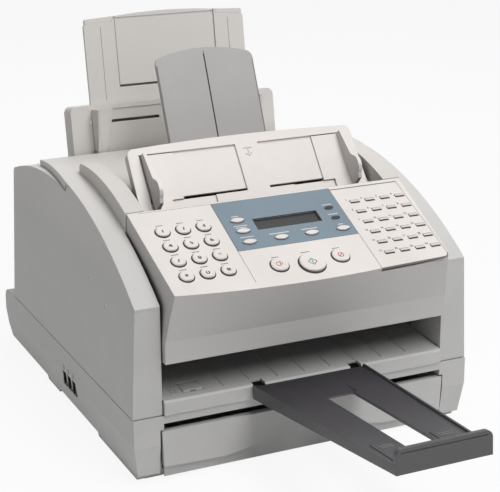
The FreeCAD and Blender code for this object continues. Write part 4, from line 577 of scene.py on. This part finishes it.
# Back: cover screws
SCREWS_X = 146.0
SCREWS_Z = (84.0, 205.0)
SCREW_R = 3.2
SCREW_LEVELS = (204.0, 206.9)
heads = [oval(s * SCREWS_X, z, SCREW_R, SCREW_R, ROUND_STEPS) for s in BOTH_SIDES for z in SCREWS_Z]
prisms("rear_screws", heads, SCREW_LEVELS, BACK, "base", "screw")

# Stage: a pale floor that shows as nearly white and keeps the shadow, in metres
GROUND_SIDE = 9.0
GROUND_Z = -0.0004
GROUND_COLOUR = (0.86, 0.86, 0.86, 1.0)
GROUND_ROUGH = 0.9
GROUND_GLOW = 0.91
SKY_LIGHT = 0.2
SEEN_SKY = 1.0
WHITE = (1.0, 1.0, 1.0, 1.0)
ON_OFF = (0.0, 1.0)


def seen(tree):
    """1 for rays from the camera, off gloss or through glass, 0 for rays that light the object."""
    path = tree.nodes.new("ShaderNodeLightPath")
    total = path.outputs["Is Camera Ray"]
    for name in ("Is Glossy Ray", "Is Transmission Ray"):
        more = tree.nodes.new("ShaderNodeMath")
        more.operation = "MAXIMUM"
        link(tree, total, more.inputs[0])
        link(tree, path.outputs[name], more.inputs[1])
        total = more.outputs[0]
    return total


ground = bpy.data.meshes.new("ground")
edge = [(-GROUND_SIDE, -GROUND_SIDE), (GROUND_SIDE, -GROUND_SIDE), (GROUND_SIDE, GROUND_SIDE),
        (-GROUND_SIDE, GROUND_SIDE)]
ground.from_pydata([(x, y, 0) for x, y in edge], [], [[0, 1, 2, 3]])
floor = bpy.data.objects.new("ground", ground)
floor.location.z = GROUND_Z
bpy.context.scene.collection.objects.link(floor)
pale = bpy.data.materials.new("pale_floor")
pale.use_nodes = True
tree = pale.node_tree
matt = tree.nodes["Principled BSDF"]
matt.inputs["Base Color"].default_value = GROUND_COLOUR
matt.inputs["Roughness"].default_value = GROUND_ROUGH
glow = node(tree, "ShaderNodeEmission", Color=WHITE, Strength=1.0)
share = spread(tree, seen(tree), 0.0, GROUND_GLOW, ON_OFF)
both = tree.nodes.new("ShaderNodeMixShader")
link(tree, share, both.inputs[0])
link(tree, matt.outputs[0], both.inputs[1])
link(tree, glow.outputs[0], both.inputs[2])
link(tree, both.outputs[0], tree.nodes["Material Output"].inputs["Surface"])
ground.materials.append(pale)

scene = bpy.context.scene
scene.view_settings.view_transform = "Standard"
world = bpy.data.worlds.new("studio")
world.use_nodes = True
scene.world = world
tree = world.node_tree
sky = tree.nodes["Background"]
link(tree, spread(tree, seen(tree), SKY_LIGHT, SEEN_SKY, ON_OFF), sky.inputs["Strength"])
sky.inputs["Color"].default_value = WHITE


def lamp(name, place, aim, size, power):
    """Square lamp, in metres and watts."""
    data = bpy.data.lights.new(name, "AREA")
    data.size = size
    data.energy = power
    made = bpy.data.objects.new(name, data)
    made.location = place
    made.rotation_euler = (Vector(aim) - Vector(place)).to_track_quat("-Z", "Y").to_euler()
    scene.collection.objects.link(made)


lamp("top", place=(0.3, -0.5, 1.95), aim=(0.0, -0.05, 0.2), size=1.2, power=18.5)
lamp("front", place=(0.35, -1.75, 1.9), aim=(0.0, -0.1, 0.12), size=1.0, power=17.0)
lamp("back", place=(0.5, 1.7, 1.3), aim=(0.0, 0.1, 0.2), size=1.0, power=5.0)

# Camera at the photograph's angle, in degrees, metres and millimetres of lens
CAMERA_ANGLES = (-25.228, 17.962, -0.175)
CAMERA_PLACE = (-0.641926, -1.415515, 0.670925)
SENSOR = 36.0
LENS = 105.888
azimuth, elevation, roll = (math.radians(a) for a in CAMERA_ANGLES)
level = math.cos(elevation)
back = Vector((math.sin(azimuth) * level, -math.cos(azimuth) * level, math.sin(elevation)))
right = Vector((math.cos(azimuth), math.sin(azimuth), 0.0))
up = back.cross(right)
right, up = right * math.cos(roll) + up * math.sin(roll), up * math.cos(roll) - right * math.sin(roll)
lens = bpy.data.cameras.new("camera")
lens.sensor_fit = "HORIZONTAL"
lens.sensor_width = SENSOR
lens.lens = LENS
camera = bpy.data.objects.new("camera", lens)
rows = [(right[i], up[i], back[i], CAMERA_PLACE[i]) for i in range(3)]
camera.matrix_world = Matrix((*rows, (0.0, 0.0, 0.0, 1.0)))
scene.collection.objects.link(camera)
scene.camera = camera
